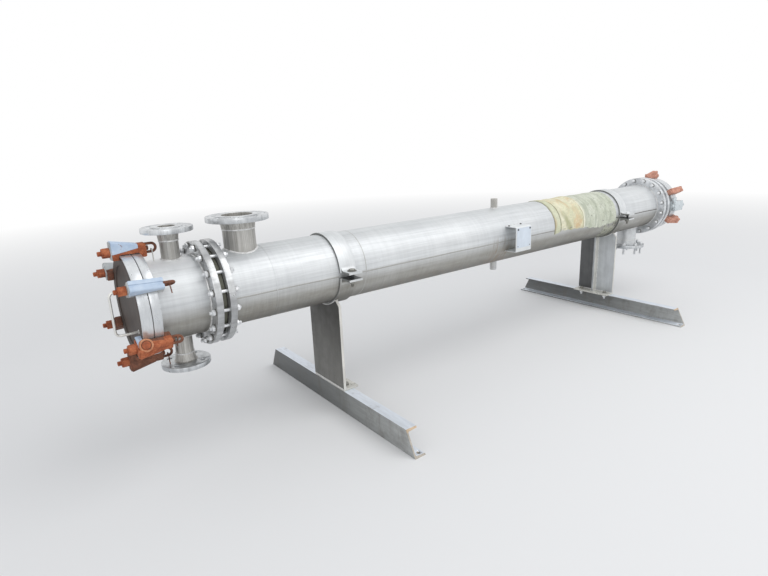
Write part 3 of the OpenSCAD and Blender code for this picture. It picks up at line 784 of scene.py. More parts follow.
# Dark brown of the wrap's skirt: a torn edge, with painted shade under the wrap's lifted edge.
TORN_AND_SHADE = plain("torn_edge_and_painted_shade", (104, 98, 76), 0.85, 0.0, 160, 0.2, 0.15)
HANDLE = plain("handle_rod", (226, 226, 222), 0.32, 0.7, 300, 0.08)
SHEET = plain("bracket_sheet", (224, 227, 228), 0.42, 0.4, 160)
NAMEPLATE = plain("bare_plate", (212, 221, 231), 0.42, 0.25, 120, 0.06)
GASKET = plain("gasket", (96, 94, 90), 0.8, depth=0.2)
# Near black gaskets: their own dark colour with painted shade in the gap between the flanges.
DARK_GAP = plain("dark_gasket_and_painted_shade", (46, 44, 42), 0.85, depth=0.2)
# Washers are painted dark grey: painted shade round the nuts.
SHADED_WASHER = plain("washer_painted_shade", (122, 120, 115), 0.6, 0.4, 260, 0.15, 0.12)
EAR_BOLT = plain("worn_bolt", (150, 149, 143), 0.5, 0.5, 260, 0.15, 0.12)
# Dark rivets, and painted shade on the bolt between the strap's ears.
DARK = plain("dark_rivet_and_painted_shade", (58, 60, 62), 0.5, 0.5)


# Girth and end flanges

GIRTH_OD = 364.0
GIRTH_T = 23.0
GIRTH_PCD = 332.0
GIRTH_N = 16
END_R = 170.0
STUD_ANGLES = [360.0 / GIRTH_N * (i + 0.5) for i in range(GIRTH_N)]


def round_flange(od, inner, t, pcd, holes, hole_r):
    """Flat flange in its own plane, from z = 0 to t."""
    loops = [circle(od / 2, 160), circle(inner, 96)]
    for a in turns(holes, 0.5):
        loops.append(circle(hole_r, 20, pcd / 2 * math.cos(a), pcd / 2 * math.sin(a)))
    return plate(loops, 0, t, 1.2)


def girth_flange(name, x, node):
    b = Build()
    b.take(round_flange(GIRTH_OD, RING_IN, GIRTH_T, GIRTH_PCD, GIRTH_N, 7), on_axis(x))
    b.piece(name, GIRTH if x < X_MID else GIRTH_FAR, "machined_steel", [node])


girth_flange("near_shell_flange_turned", -449, "near_shell_flange")
girth_flange("channel_flange_turned", -495, "channel_flange")
girth_flange("far_shell_flange_turned", 2436, "far_shell_flange")
girth_flange("return_flange_turned", 2482, "return_flange")


def girth_bolts(name, x0, x1):
    """Studs through both flanges with a nut and washer on each outer face."""
    b = Build()
    for angle in STUD_ANGLES:
        spot = to_row(0, 0, AXIS_Z) @ turn_x(angle)
        twist = random.uniform(0, 60)
        for x, sign in ((x0, -1), (x1, 1)):
            m = spot @ shift(x, 0, GIRTH_PCD / 2) @ ALONG_X
            if sign < 0:
                m = m @ Matrix.Rotation(math.pi, 4, "X")
            m = m @ spin(math.radians(twist * sign))
            # The washer takes the dark look: painted shade round the nut.
            b.take(disc(12, 0, 2.2, 6.3), m, 1)
            b.take(hex_prism(18.5, 10), m @ shift(0, 0, 2.2))
            b.take(thread(6, 12.2, random.uniform(17, 22)), m)
        b.take(shank(5.7, 0, x1 - x0, 16), spot @ shift(x0, 0, GIRTH_PCD / 2) @ ALONG_X)
    b.piece(name, [BOLT, SHADED_WASHER], "machined_steel")


girth_bolts("near_girth_bolts", -495, -426)
girth_bolts("far_girth_bolts", 2436, 2505)


def end_joint(prefix, x_back, x_joint, x_face, flange_node, cover_node):
    """End flange and blind cover with a thin gasket between their rims."""
    side = 1 if x_face > x_joint else -1
    half = 1.0    # of the gasket
    b = Build()
    t = abs(x_joint - x_back) - half
    ring = rounded([(RING_IN, 0, 0), (END_R, 0, 1.4), (END_R, t, 1.4), (RING_IN, t, 0)], 2)
    b.take(lathe(ring, 160, closed=True), on_axis(x_back, side < 0))
    b.piece(prefix + "_end_flange_turned", TURNED_X, "machined_steel", [flange_node])
    b = Build()
    ring = [(BORE_R + 2, -half), (166.5, -half), (166.5, half), (BORE_R + 2, half)]
    b.take(lathe(ring, 120, closed=True), on_axis(x_joint, side < 0))
    b.piece(prefix + "_gasket", GASKET, "dull_steel")
    t = abs(x_face - x_joint)
    b = Build()
    rim = rounded([(0, half, 0), (END_R, half, 1.4), (END_R, t, 2.0), (136, t, 1.0),
                   (135, t - 4, 0.8), (0, t - 4, 0)], 3)
    b.take(lathe(rim, 160), on_axis(x_joint, side < 0))
    obj = b.piece(prefix + "_cover_turned", TURNED_X, "machined_steel", [cover_node])
    obj.data.materials.append(DULL)
    for poly in obj.data.polygons:
        c = poly.center
        r = math.hypot(c.y, c.z - AXIS_Z * MM) / MM
        if abs(c.x - (x_face - X_MID) * MM) < 0.006 and r < 168.4:
            poly.material_index = 1


end_joint("channel", -661, CHANNEL_JOINT, CHANNEL_FACE, "channel_end_flange", "channel_cover")
end_joint("return", 2560, RETURN_JOINT, RETURN_FACE, "return_end_flange", "return_cover")


# Nozzles

def saddle(radius, n):
    """Points where a vertical pipe of this radius meets the shell."""
    return [(x, y, math.sqrt(SHELL_R ** 2 - y ** 2)) for x, y in circle(radius, n)]


def nozzle(name, x, up, size, steel):
    """Weld neck flange and pipe with a raised face, standing off the axis."""
    spot = to_row(x, 0, AXIS_Z)
    if not up:
        spot = spot @ turn_x(180)
    neck_d, od, t, pcd, holes, rise, raised = size
    r = neck_d / 2
    bore = r - 3
    root = math.sqrt(BORE_R ** 2 - r ** 2) - 3
    b = Build()
    face = 2.0
    b.take(round_flange(od, bore + 8, t - face, pcd, holes, 9), spot @ shift(0, 0, rise - t))
    back = rise - t
    hub = [(bore, root), (r, root), (r, back - 30), (r + 1.5, back - 26), (r + 3.5, back - 12),
           (r + 5.0, back - 3), (r + 9, back), (r + 10, back + 4), (bore + 9, back + 4),
           (bore + 9, rise - face + 0.1), (raised, rise - face + 0.1), (raised - 0.3, rise),
           (bore + 0.8, rise), (bore, rise - 0.8)]
    b.take(lathe(hub, 96, closed=True), spot, 1)
    obj = b.piece(name + "_turned", [TURNED_Z, steel], "machined_steel", [name])
    for poly in obj.data.polygons:
        c = poly.center
        high = abs(c.z / MM - AXIS_Z)
        if high > rise - t + 1 and math.hypot(c.x / MM - x + X_MID, c.y / MM) > bore + 1.5:
            poly.material_index = 0
    b = Build()
    pts = saddle(r + 1.5, 160)
    b.take(bead(pts, 4.2, closed=True, pitch=5.5, up=[(p[0], p[1], 60) for p in pts]), spot)
    ring = [(x, y, back - 29) for x, y in circle(r + 0.2, 160)]
    b.take(bead(ring, 2.2, closed=True, pitch=4.5, flat=1.4), spot)
    b.piece(name + "_welds", WELD, "machined_steel")


# Neck, flange, its thickness, bolt circle and holes, face above the axis, and
# radius of the raised face.
LARGE = (114.3, 220, 20, 180, 8, 255, 79)
SMALL = (60.3, 165, 18, 125, 4, 244, 51)
nozzle("shell_top_nozzle", NEAR_NOZZLE, True, LARGE, NECK)
nozzle("shell_bottom_nozzle", FAR_NOZZLE, False, LARGE, SHELL)
nozzle("channel_top_nozzle", CHANNEL_NOZZLE, True, SMALL, NECK)
nozzle("channel_bottom_nozzle", CHANNEL_NOZZLE, False, SMALL, NECK)


def sheet_gaskets():
    """Thin gaskets on both sides of each tubesheet, a little proud of its rim."""
    b = Build()
    for x in (-472, -449 - 2, 2459, 2482 - 2):
        ring = [(140, 0.05), (156.4, 0.05), (156.4, 1.95), (140, 1.95)]
        b.take(lathe(ring, 120, closed=True), on_axis(x))
    # The gaskets' near black is partly painted shade in the gap.
    b.piece("tubesheet_gaskets", DARK_GAP, "dull_steel")


sheet_gaskets()


def hanging_studs():
    """Studs left in the lower shell nozzle, held by nuts above its flange."""
    b = Build()
    top = 235.0
    for a in turns(8, 0.5):
        spot = to_row(FAR_NOZZLE, 0, AXIS_Z) @ turn_x(180)
        spot = spot @ shift(90 * math.cos(a), 90 * math.sin(a), 0)
        down = random.uniform(-3, 3)
        b.take(disc(12, top - 2.4, top, 6.8), spot)
        b.take(hex_prism(19, 10), spot @ shift(0, 0, top - 12.4)
               @ spin(random.uniform(0, 1)))
        b.take(thread(6.4, top - 15 + down, 296 + down, 1.75, 18), spot)
    b.piece("shell_bottom_studs", BOLT, "machined_steel")


hanging_studs()


# Shell, seams, welds

# The tubesheets' dark olive is painted shade and painted reflection.
for node, material in (("shell_barrel", SHELL), ("channel_barrel", SHELL), ("return_barrel", SHELL),
                       ("near_tubesheet", SHEET_RIM), ("far_tubesheet", SHEET_RIM),
                       ("pass_partition", DULL), ("tube_bundle", BOLT)):
    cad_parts[node].data.materials.clear()
    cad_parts[node].data.materials.append(material)


def shell_point(x, angle, r=SHELL_R):
    a = math.radians(angle)
    return (x, -r * math.sin(a), AXIS_Z + r * math.cos(a))


def line_up(points):
    return [(0, p[1], p[2] - AXIS_Z) for p in points]


def seams():
    b = Build()
    row = to_row()
    for x0, x1, angle in ((-425, -2, 94), (76, 1972, 94), (2048, 2434, 94), (-494, -660, 263),
                          (2506, 2559, 94)):
        n = int(abs(x1 - x0) / 2.5)
        pts = [shell_point(x0 + (x1 - x0) * i / n, angle + 0.25 * math.sin(i * 0.05), SHELL_R - 0.9)
               for i in range(n + 1)]
        b.take(bead(pts, 3.2, 0.1, 7, flat=0.55, up=line_up(pts)), row)
    b.piece("long_seams", SEAM, "shell_steel")
    b = Build()
    for x, size, depth, look in ((-258, 3.2, 1.0, 0), (127, 2.6, 1.1, 1)):
        pts = [shell_point(x, 360 * i / 260, SHELL_R - depth) for i in range(260)]
        b.take(bead(pts, size, 0.1, 6, closed=True, flat=0.6, up=line_up(pts)), row, look)
    b.piece("shell_seams", [SHELL, SEAM_ROUND], "shell_steel")


seams()


def flange_welds():
    b = Build()
    row = to_row()
    for x in (-424, -497, -659, 2434, 2507, 2558):
        pts = [shell_point(x, 360 * i / 300, SHELL_R + 0.8) for i in range(300)]
        b.take(bead(pts, 3.4, 0.14, 5.0, closed=True, up=line_up(pts)), row)
    b.piece("flange_welds", WELD, "machined_steel")


flange_welds()


# Supports

STRAP_OUT = RING_IN + 8
EAR_Y = STRAP_OUT + 53


def side_matrix(far):
    """Supports are drawn at the near leg, and mirrored for the far one."""
    if far:
        return to_row(SUPPORT_PITCH) @ Matrix.Scale(-1, 4, (1, 0, 0))
    return to_row()


def arc_loop(r_in, r_out, z_from, up):
    """Half ring in the (y, z) plane, its ends cut level at z_from."""
    sign = 1 if up else -1
    out = []
    for r, order in ((r_out, 1), (r_in, -1)):
        a0 = math.asin(z_from / r)
        angles = [a0 + (math.pi - 2 * a0) * i / 72 for i in range(73)]
        for a in angles[::order]:
            out.append((r * math.cos(a), sign * r * math.sin(a)))
    return out


def strap_matrix(far):
    """The far straps sit farther outward on their leg."""
    return side_matrix(far) @ shift(-36 if far else 0, 0, 0)


def straps(prefix, far):
    axis = strap_matrix(far) @ shift(0, 0, AXIS_Z) @ ALONG_X
    for up, tag, cut in ((True, "upper", 5.0), (False, "lower", 15.0)):
        b = Build()
        b.take(plate([arc_loop(RING_IN, STRAP_OUT, cut, up)], 0, 72, 1.0), axis)
        sign = 1 if up else -1
        ear_z = cut * sign
        for s in (-1, 1):
            # The ear leaves the strap in a bend, so its outline has a fillet.
            root = math.sqrt(RING_IN ** 2 - (cut + 8) ** 2)
            fil = 18.0
            y_arc = math.sqrt((STRAP_OUT - 0.6) ** 2 - (cut + 8 + fil) ** 2)
            outline = [(root, ear_z), (EAR_Y, ear_z), (EAR_Y, ear_z + 8 * sign)]
            for k in range(9):
                a = math.pi / 2 * k / 8
                outline.append((y_arc + fil + 1 - fil * math.sin(a),
                                ear_z + (8 + fil - fil * math.cos(a)) * sign))
            outline.append((root, ear_z + (8 + fil) * sign))
            outline = [(s * y, z) for y, z in outline]
            b.take(plate([outline], 6, 66, 0.9), axis)
        b.piece(prefix + "_" + tag + "_strap_bent", STRAP, "shell_steel",
                [prefix + "_" + tag + "_strap"])


def leg(prefix, far):
    """Leg plate, cut out for the lower strap, and the rib behind it."""
    base = side_matrix(far)
    outline = [(-116, FOOT_TOP), (116, FOOT_TOP), (116, 457.8), (92, 481.8)]
    top = []
    for i in range(41):
        a = math.radians(-50.5 + 101.0 * i / 40)
        top.append((STRAP_OUT * math.sin(-a), AXIS_Z - STRAP_OUT * math.cos(a)))
    top = [p for p in top if abs(p[0]) < 91.6]
    outline += sorted(top, key=lambda p: -p[0]) + [(-92, 481.8), (-116, 457.8)]
    b = Build()
    b.take(plate([outline], 0, 12, 0.9), base @ ALONG_X)
    steel = LEG_FAR if far else LEG_NEAR
    b.piece(prefix + "_leg_cut_plate", steel, "leg_steel", [prefix + "_leg_plate"])
    b = Build()
    rib_top = AXIS_Z - STRAP_OUT - 0.2
    outline = [(12, FOOT_TOP), (46, FOOT_TOP), (46, rib_top), (12, rib_top)]
    b.take(plate([outline], -6, 6), base @ TO_FRONT)
    b.piece(prefix + "_rib_plate", steel, "leg_steel", [prefix + "_leg_rib"])


def foot(prefix, far):
    b = Build()
    b.take(plate([rounded([(0, -116, 2), (71, -116, 3), (71, 116, 3), (0, 116, 2)], 3),
                  circle(7, 20, 33.6, -80), circle(7, 20, 33.6, 80)], 96, FOOT_TOP, 0.7),
           side_matrix(far))
    b.piece(prefix + "_foot_cut_plate", FOOT, "base_steel", [prefix + "_foot_plate"])


def leg_welds(prefix, far):
    base = side_matrix(far)
    b = Build()

    def run(points, r):
        n = max(2, int((Vector(points[1]) - Vector(points[0])).length / 2.2))
        pts = [Vector(points[0]).lerp(Vector(points[1]), i / n) for i in range(n + 1)]
        b.take(bead(pts, r, 0.15, 5, flat=1.0), base)

    run([(12.5, -114, 105), (12.5, -8, 105)], 3.6)
    run([(12.5, 8, 105), (12.5, 114, 105)], 3.6)
    run([(-0.2, -114, 104.5), (-0.2, 114, 104.5)], 2.2)
    for s in (-1, 1):
        run([(13, s * 7, 107), (13, s * 7, 446)], 3.0)
        run([(14, s * 7, 104.8), (44, s * 7, 104.8)], 3.0)
    reach = STRAP_OUT + 0.6
    for x, r in ((-0.4, 2.6), (12.6, 3.0)):
        pts = []
        for i in range(121):
            a = math.radians(-39 + 78 * i / 120)
            pts.append((x, reach * math.sin(a), AXIS_Z - reach * math.cos(a)))
        b.take(bead(pts, r, 0.15, 5), base)
    b.piece(prefix + "_leg_welds", WELD, "leg_steel")


def support_bolts(prefix, far):
    """Bolts through the straps' ears and through the foot plate."""
    b = Build()
    for s in (-1, 1):
        spot = strap_matrix(far) @ shift(36, s * (EAR_Y - 26.5), AXIS_Z)
        lean = Matrix.Rotation(math.radians(random.uniform(-2, 2)), 4, "X")
        # Washers with the dark look carry painted shade round the nuts.
        b.take(disc(18, 13, 15.2, 6.5), spot, 0 if far else 2)
        b.take(hex_prism(22, 6), spot @ lean @ shift(0, 0, 15.2), 0 if far else 1)
        # The bolt between the ears is dark: painted shade in the gap.
        b.take(shank(6, -20, 20), spot, 3)
        b.take(disc(13, -25.5, -23, 6.5), spot, 2)
        b.take(hex_prism(20, 10), spot @ shift(0, 0, -35.5) @ spin(0.4), 1)
        b.take(thread(6, -49, -20), spot, 1)
        spot = side_matrix(far) @ shift(33.6, s * 80, 0)
        b.take(disc(12, FOOT_TOP, FOOT_TOP + 2, 6.5), spot, 2)
        b.take(hex_prism(19, 8.5), spot @ shift(0, 0, 106) @ spin(0.2 * s), 1)
        b.take(shank(6, 80, 106), spot)
        b.take(disc(12, 85.5, 87.5, 6.5), spot)
        b.take(hex_prism(19, 9), spot @ shift(0, 0, 76.5) @ spin(0.5))
        b.take(thread(6, 66, 80), spot)
    b.piece(prefix + "_support_bolts", [BOLT, EAR_BOLT, SHADED_WASHER, DARK], "machined_steel")


for prefix, far in (("near", False), ("far", True)):
    for work in (straps, leg, foot, leg_welds, support_bolts):
        work(prefix, far)


def base_channel(prefix, far):
    """Rolled channel with root fillets, rounded toes and slanted end cuts."""
    h, w, web, fl = 96.0, 48.0, 6.0, 8.5
    profile = rounded([(0, 0, 0.8), (w, 0, 0.8), (w, fl - 1.5, 3.5), (web, fl + 0.5, 6),
                       (web, h - fl - 0.5, 6), (w, h - fl + 1.5, 3.5), (w, h, 0.8), (0, h, 0.8)], 3)
    steps = 28
    rings = [[(x, (-1 + 2 * i / steps) * (560 - 48 * z / h), z) for x, z in profile]
             for i in range(steps + 1)]
    b = Build()
    b.take(loft(rings), side_matrix(far))
    name = prefix + "_channel_rolled"
    obj = b.piece(name, CHANNEL, "base_steel", [prefix + "_base_channel"])
    cut = Build()
    for s in (-1, 1):
        cut.take(shank(7, -5, 20, 24), side_matrix(far) @ shift(28.8, s * 543, 0))
    cutter = cut.piece(name + "_cut", CHANNEL, "base_steel")
    mod = obj.modifiers.new("holes", "BOOLEAN")
    mod.object = cutter
    mod.operation = "DIFFERENCE"
    mod.solver = "EXACT"
    depsgraph = bpy.context.evaluated_depsgraph_get()
    mesh = bpy.data.meshes.new_from_object(obj.evaluated_get(depsgraph))
    obj.modifiers.clear()
    old = obj.data
    obj.data = mesh
    bpy.data.meshes.remove(old)
    bpy.data.objects.remove(cutter)


base_channel("near", False)
base_channel("far", True)


# Vent, drain, bracket, data plate

def coupling(name, up):
    spot = to_row(FITTINGS_X, 0, AXIS_Z)
    if not up:
        spot = spot @ turn_x(180)
    r, bore = 17.0, 10.0
    root = math.sqrt(BORE_R ** 2 - r ** 2) - 3
    top = SHELL_R + 46
    b = Build()
    b.take(lathe([(bore, root), (r, root), (r, top - 13), (r - 0.8, top - 12.4),
                  (r - 0.8, top - 11.6), (r, top - 11), (r, top - 1.2), (r - 1.2, top),
                  (bore + 1.5, top), (bore, top - 1.5)], 48, closed=True), spot)
    b.piece(name + "_turned", NECK if up else SHELL, "shell_steel", [name])
    b = Build()
    pts = saddle(r + 1.0, 90)
    b.take(bead(pts, 3.2, closed=True, up=[(p[0], p[1], 40) for p in pts]), spot)
    b.piece(name + "_weld", WELD, "shell_steel")


coupling("vent_coupling", True)
coupling("drain_coupling", False)


def bracket():
    """Sheet bracket: a face in front, bent back to the shell above and below."""
    x0, x1 = FITTINGS_X - 56.5, FITTINGS_X + 56.5
    y_face = -SHELL_R - 55
    z0, z1 = AXIS_Z - 61, AXIS_Z + 61
    t = 3.0

    def shell_y(z):
        return -math.sqrt(RING_IN ** 2 - (z - AXIS_Z) ** 2)

    outline = rounded([(shell_y(z1), z1, 0), (y_face, z1, 5.0), (y_face, z0, 5.0),
                       (shell_y(z0), z0, 0), (shell_y(z0 + t), z0 + t, 0),
                       (y_face + t, z0 + t, 2.0), (y_face + t, z1 - t, 2.0),
                       (shell_y(z1 - t), z1 - t, 0)], 5)
    b = Build()
    b.take(plate([outline], x0, x1, 0.5, 1), to_row() @ ALONG_X)
    b.piece("plate_bracket_folded", SHEET, "machined_steel", ["plate_bracket"])
    # Data plate, bare
    b = Build()
    px0, px1, pz0, pz1 = x0 + 6, x1 - 6, AXIS_Z + 8 - 48, AXIS_Z + 8 + 48
    m = to_row(0, y_face, 0) @ TO_FRONT
    outline = rounded([(px0, pz0, 4), (px1, pz0, 4), (px1, pz1, 4), (px0, pz1, 4)], 4)
    b.take(plate([outline], 0, 1.5, 0.3, 1), m)
    b.piece("data_plate_bare", NAMEPLATE, "plate_metal", ["data_plate"])

    def dome(size):
        return lathe([(0, 3.2 * size), (1.6 * size, 2.9 * size), (2.9 * size, 1.6),
                      (3.1 * size, 1.2), (3.1 * size, 0.2), (0, 0.2)], 20)

    b = Build()
    for px in (px0 + 7, px1 - 7):
        b.take(dome(1.6), m @ shift(px, pz1 - 7, 0))
        b.take(dome(0.9), m @ shift(px, pz0 + 7, 0))
        # Rivets through the upper leg, close to the shell
        b.take(dome(1.7), to_row(px, shell_y(z1) - 13, z1 - 0.2))
    b.piece("data_plate_rivets", DARK, "dull_steel")
    b = Build()
    for z, s in ((z1, 1), (z0, -1)):
        pts = [(x0 + 1 + (x1 - x0 - 2) * i / 48, shell_y(z) - 0.6, z + s * 0.4) for i in range(49)]
        b.take(bead(pts, 2.2, 0.2, 5), to_row())
    b.piece("bracket_welds", WELD, "machined_steel")


bracket()


# Handles

def handle(name, x, side):
    """Round bar bent twice, welded by both feet to the cover."""
    half = 68.5
    reach = 62.0
    bend = 14.0
    pts = [(-4.0, -half)]
    for k in range(9):
        a = math.pi / 2 * k / 8
        pts.append((reach - bend + bend * math.sin(a), -half + bend - bend * math.cos(a)))
    for k in range(9):
        a = math.pi / 2 * k / 8
        pts.append((reach - bend + bend * math.cos(a), half - bend + bend * math.sin(a)))
    pts.append((-4.0, half))
    bar = [(x + side * p[0], -98.0, AXIS_Z + 9 + p[1]) for p in pts]
    b = Build()
    b.take(sweep(bar, 4.0, 18), to_row())
    b.piece(name + "_bar", HANDLE, "handle_rod", [name])
    b = Build()
    for s in (-1, 1):
        ring = [(x - side * 3.2, -98 + y, AXIS_Z + 9 + s * half + z) for y, z in circle(5.2, 40)]
        b.take(bead(ring, 1.8, 0.2, 4, closed=True), to_row())
    b.piece(name + "_welds", WELD, "machined_steel")


handle("channel_handle", CHANNEL_FACE, -1)
handle("return_handle", RETURN_FACE, 1)


# Clamps

# Along a clamp, from the joint: its end behind the flange and its end on the
# cover. Up from the axis: jaws, rim of the flange, back, and the bolt.
TAIL, HEAD = -48.0, 54.0
JAW_Z, RIM_Z, TOP_Z, BOLT_Z = 156.0, 171.5, 217.5, 181.9


def clamp_spot(x_joint, side, angle):
    """Local x runs from the joint toward the cover, local z is outward."""
    m = to_row(x_joint, 0, AXIS_Z) @ turn_x(angle)
    if side < 0:
        m = m @ Matrix.Scale(-1, 4, (1, 0, 0))
    return m


def clamp_core(b, spot, look, w=16.5):
    """C-shaped core whose jaws grip the flange and the cover."""
    outline = rounded([(TAIL, JAW_Z, 5), (-28.1, JAW_Z, 2), (-28.1, RIM_Z + 0.1, 4),
                       (34.1, RIM_Z + 0.1, 4), (34.1, JAW_Z, 2), (HEAD, JAW_Z, 4),
                       (HEAD, 194, 3), (-16, 194, 5), (TAIL, 190, 7)], 4)
    b.take(plate([outline], -w, w, 1.5), spot @ TO_FRONT, look)


def clamp_cap(b, spot, look, groove, x_end=-24.0):
    """Tapered cap over the core, grooved along its outer face."""
    rings = []
    for x, d in ((HEAD, 1.3), (HEAD - 1.2, 0.3), (HEAD - 3, 0), (34, 0), (12, 0), (-8, 0),
                 (x_end + 3, 0), (x_end + 1.2, 0.3), (x_end, 1.3)):
        k = (HEAD - x) / (HEAD - x_end)
        low = 175 + 12 * k + d
        top = TOP_Z - 16.5 * k - d
        h = 18.0 - d
        rad = 5.0
        ring = [(x, -h + 1, low), (x, h - 1, low), (x, h, low + 1)]
        for s in range(5):
            a = math.pi / 2 * s / 4
            ring.append((x, h - rad + rad * math.cos(a), top - rad + rad * math.sin(a)))
        ring += [(x, 4.6, top), (x, 3.2, top - groove), (x, -3.2, top - groove), (x, -4.6, top)]
        for s in range(5):
            a = math.pi / 2 * (1 + s / 4)
            ring.append((x, -h + rad + rad * math.cos(a), top - rad + rad * math.sin(a)))
        ring.append((x, -h, low + 1))
        rings.append(ring)
    b.take(loft(rings), spot, look)


def clamp_tail(b, spot, look):
    """Rounded block at the flange end of the clamp's back."""
    b.take(box(TAIL, -22, -17.6, 17.6, RIM_Z + 0.4, 200.5, 4.0, 3), spot, look)


def end_plate(b, spot, look):
    """Thin bearing plate under the nut, over the whole end of the clamp."""
    loop = rounded([(-16.5, JAW_Z + 2, 5), (16.5, JAW_Z + 2, 5), (16.5, TOP_Z - 3, 5),
                    (-16.5, TOP_Z - 3, 5)], 4)
    b.take(plate([loop], HEAD, HEAD + 3, 0.6, 1), spot @ ALONG_X, look)


def clamp_nut(b, spot, look, turn):
    """Nut and threaded end of the bolt on the cover's side."""
    bar = spot @ shift(0, 0, BOLT_Z) @ ALONG_X
    b.take(hex_prism(27.6, 21.5, 0.1), bar @ shift(0, 0, HEAD + 3) @ spin(math.radians(turn)), look)
    b.take(disc(15.0, HEAD + 24.2, HEAD + 26, 0, 0.6), bar, look)
    b.take(thread(7.9, HEAD + 20, HEAD + 38, 2.4, 20), bar, look)


def eye_end(b, spot, look):
    """Flat eye forged on the bolt's other end, its arms run up to the clamp."""
    middle = TAIL - 18.0
    r = 13.5
    arms = (TAIL + 3, TAIL - 4, TAIL - 11)
    pts = [(x, 0, BOLT_Z + r) for x in arms]
    for i in range(17):
        a = math.pi / 2 + math.pi * i / 16
        pts.append((middle + r * math.cos(a), 0, BOLT_Z + r * math.sin(a)))
    pts += [(x, 0, BOLT_Z - r) for x in reversed(arms)]
    b.take(sweep(pts, 4.5, 12), spot, look)
    bar = spot @ shift(0, 0, BOLT_Z) @ ALONG_X
    b.take(lathe([(0, TAIL - 8.5), (6.5, TAIL - 8.5), (7.9, TAIL - 7), (7.9, TAIL + 4),
                  (0, TAIL + 4)], 20), bar, look)


def hanging_pin(b, angle, look):
    """Loose pin in the eye. It hangs on the bar of an upright eye, and drops
    through an eye that lies flat."""
    x = CHANNEL_JOINT + 66
    length = 40.0
    eye = Vector(shell_point(x, angle, BOLT_Z))
    if angle % 180 == 0:
        under = eye.z - 9.0 + 1.9
        pts = [(x, eye.y + 7, under - 10)]
        for a in (math.pi * i / 8 for i in range(9)):
            pts.append((x, eye.y + 7 * math.cos(a), under + 2.4 * math.sin(a)))
        pts.append((x + 0.6, eye.y - 7.4, under - length))
        b.take(sweep(pts, 1.9, 10), to_row(), look)
    else:
        a = math.radians(angle)
        down = Vector((0, -math.cos(a), -math.sin(a)))
        if down.z > 0:
            down = -down
        start = eye - down * 7.0
        pts = [start + down * (length * i / 6) for i in range(7)]
        b.take(sweep(pts, 1.9, 10), to_row(), look)
        bead_pts = [start + down * k for k in (-1.6, -0.8, 0.4, 1.6, 2.4)]
        b.take(sweep(bead_pts, 3.6, 12, radii=[1.2, 3.0, 3.6, 3.0, 1.4]), to_row(), look)


def channel_clamps():
    """Upper clamps on the channel cover keep their paint, lower ones are rusty."""
    looks = [BLUE, RUST, RUST_DARK, EDGE, FADED, RUST_PALE]
    # Angle, group, and the looks of the cap, the core and the tail.
    near = [(0, "blue", 0, 1, 1), (60, "blue", 0, 4, 0), (120, "blue", 1, 2, 1),
            (180, "rusty", 2, 2, 2), (240, "rusty", 2, 2, 2), (300, "rusty", 4, 2, 2)]
    groups = {"blue": Build(), "rusty": Build()}
    bolts = Build()
    for angle, group, cap, core, tail in near:
        b = groups[group]
        spot = clamp_spot(CHANNEL_JOINT, -1, angle)
        clamp_core(b, spot, core)
        if angle == 60:
            clamp_cap(b, spot, cap, groove=3.4, x_end=TAIL + 1)
        else:
            clamp_cap(b, spot, cap, groove=1.8)
            clamp_tail(b, spot, tail)
        end_plate(b, spot, 4 if angle < 120 else cap)
        if angle == 120:
            b.take(box(36, HEAD - 0.5, 16.0, 20.4, 152, 198, 0.7), spot, 0)
            # Round boss on the clamp's front corner.
            boss = spot @ shift(33, 27, 202) @ Matrix.Rotation(-math.radians(48), 4, "X")
            b.take(lathe([(0, -26), (20.4, -26), (20.4, -1.8), (19, 0), (15.4, 0), (14.6, -2.4),
                          (0, -2.4)], 48), boss, 5)
            b.take(shank(14.8, -3, -2.2, 48), boss, 2)
            b.take(lathe([(0, -3), (12.8, -3), (12.8, -1.2), (11.8, -0.2), (0, -0.2)], 48), boss, 1)
        clamp_nut(bolts, spot, 1, 17 * (angle // 60))
        eye_end(bolts, spot, 2)
        hanging_pin(bolts, angle, 3 if angle == 0 else 2)
    groups["blue"].piece("channel_clamps_blue_cast", looks, "clamp_blue", ["channel_blue_clamps"])
    groups["rusty"].piece("channel_clamps_rusty_cast", looks, "clamp_rust",
                          ["channel_rusty_clamps"])
    bolts.piece("channel_clamp_bolts_forged", looks, "clamp_rust", ["channel_clamp_screws"])


def return_clamps():
    looks = [RUST_PINK, RUST_DARK, PALE, EDGE]
    frames, bolts, pale = Build(), Build(), Build()
    for angle in (0, 60, 90, 120, 240, 300):
        spot = clamp_spot(RETURN_JOINT, 1, angle)
        if angle == 90:
            clamp_core(pale, spot, 2, 30.0)
            pale.take(box(TAIL, HEAD, -30.6, 30.6, 178.5, 201, 2.4, 3), spot, 2)
            pale.take(box(TAIL, TAIL + 38, 28, 55, 175.5, 188.5, 1.8, 2), spot, 2)
        else:
            clamp_core(frames, spot, 0)
            clamp_cap(frames, spot, 0, groove=1.6)
            clamp_tail(frames, spot, 0)
            end_plate(frames, spot, 0)
        look = 2 if angle == 90 else 0
        clamp_nut(bolts, spot, look, 13 * (angle // 30))
        bar = spot @ shift(0, 0, BOLT_Z) @ ALONG_X
        bolts.take(hex_prism(23.5, 10, 0.1), bar @ shift(0, 0, TAIL - 10), look)
        bolts.take(shank(7.9, TAIL - 1, TAIL + 3), bar, look)
    frames.piece("return_clamps_cast", looks, "clamp_rust", ["return_clamps"])
    pale.piece("return_pale_clamp_cast", looks, "clamp_blue", ["return_pale_clamp"])
    bolts.piece("return_clamp_bolts_cut", looks, "clamp_rust", ["return_clamp_screws"])


channel_clamps()
return_clamps()


# Wrap residue

# The wrap's lower edge, as places along the shell and angles from its top.
WRAP_EDGE = ((1350, 104), (1385, 100), (1420, 97), (1500, 99), (1620, 101), (1700, 105),
             (1790, 109), (1870, 106), (1945, 103))


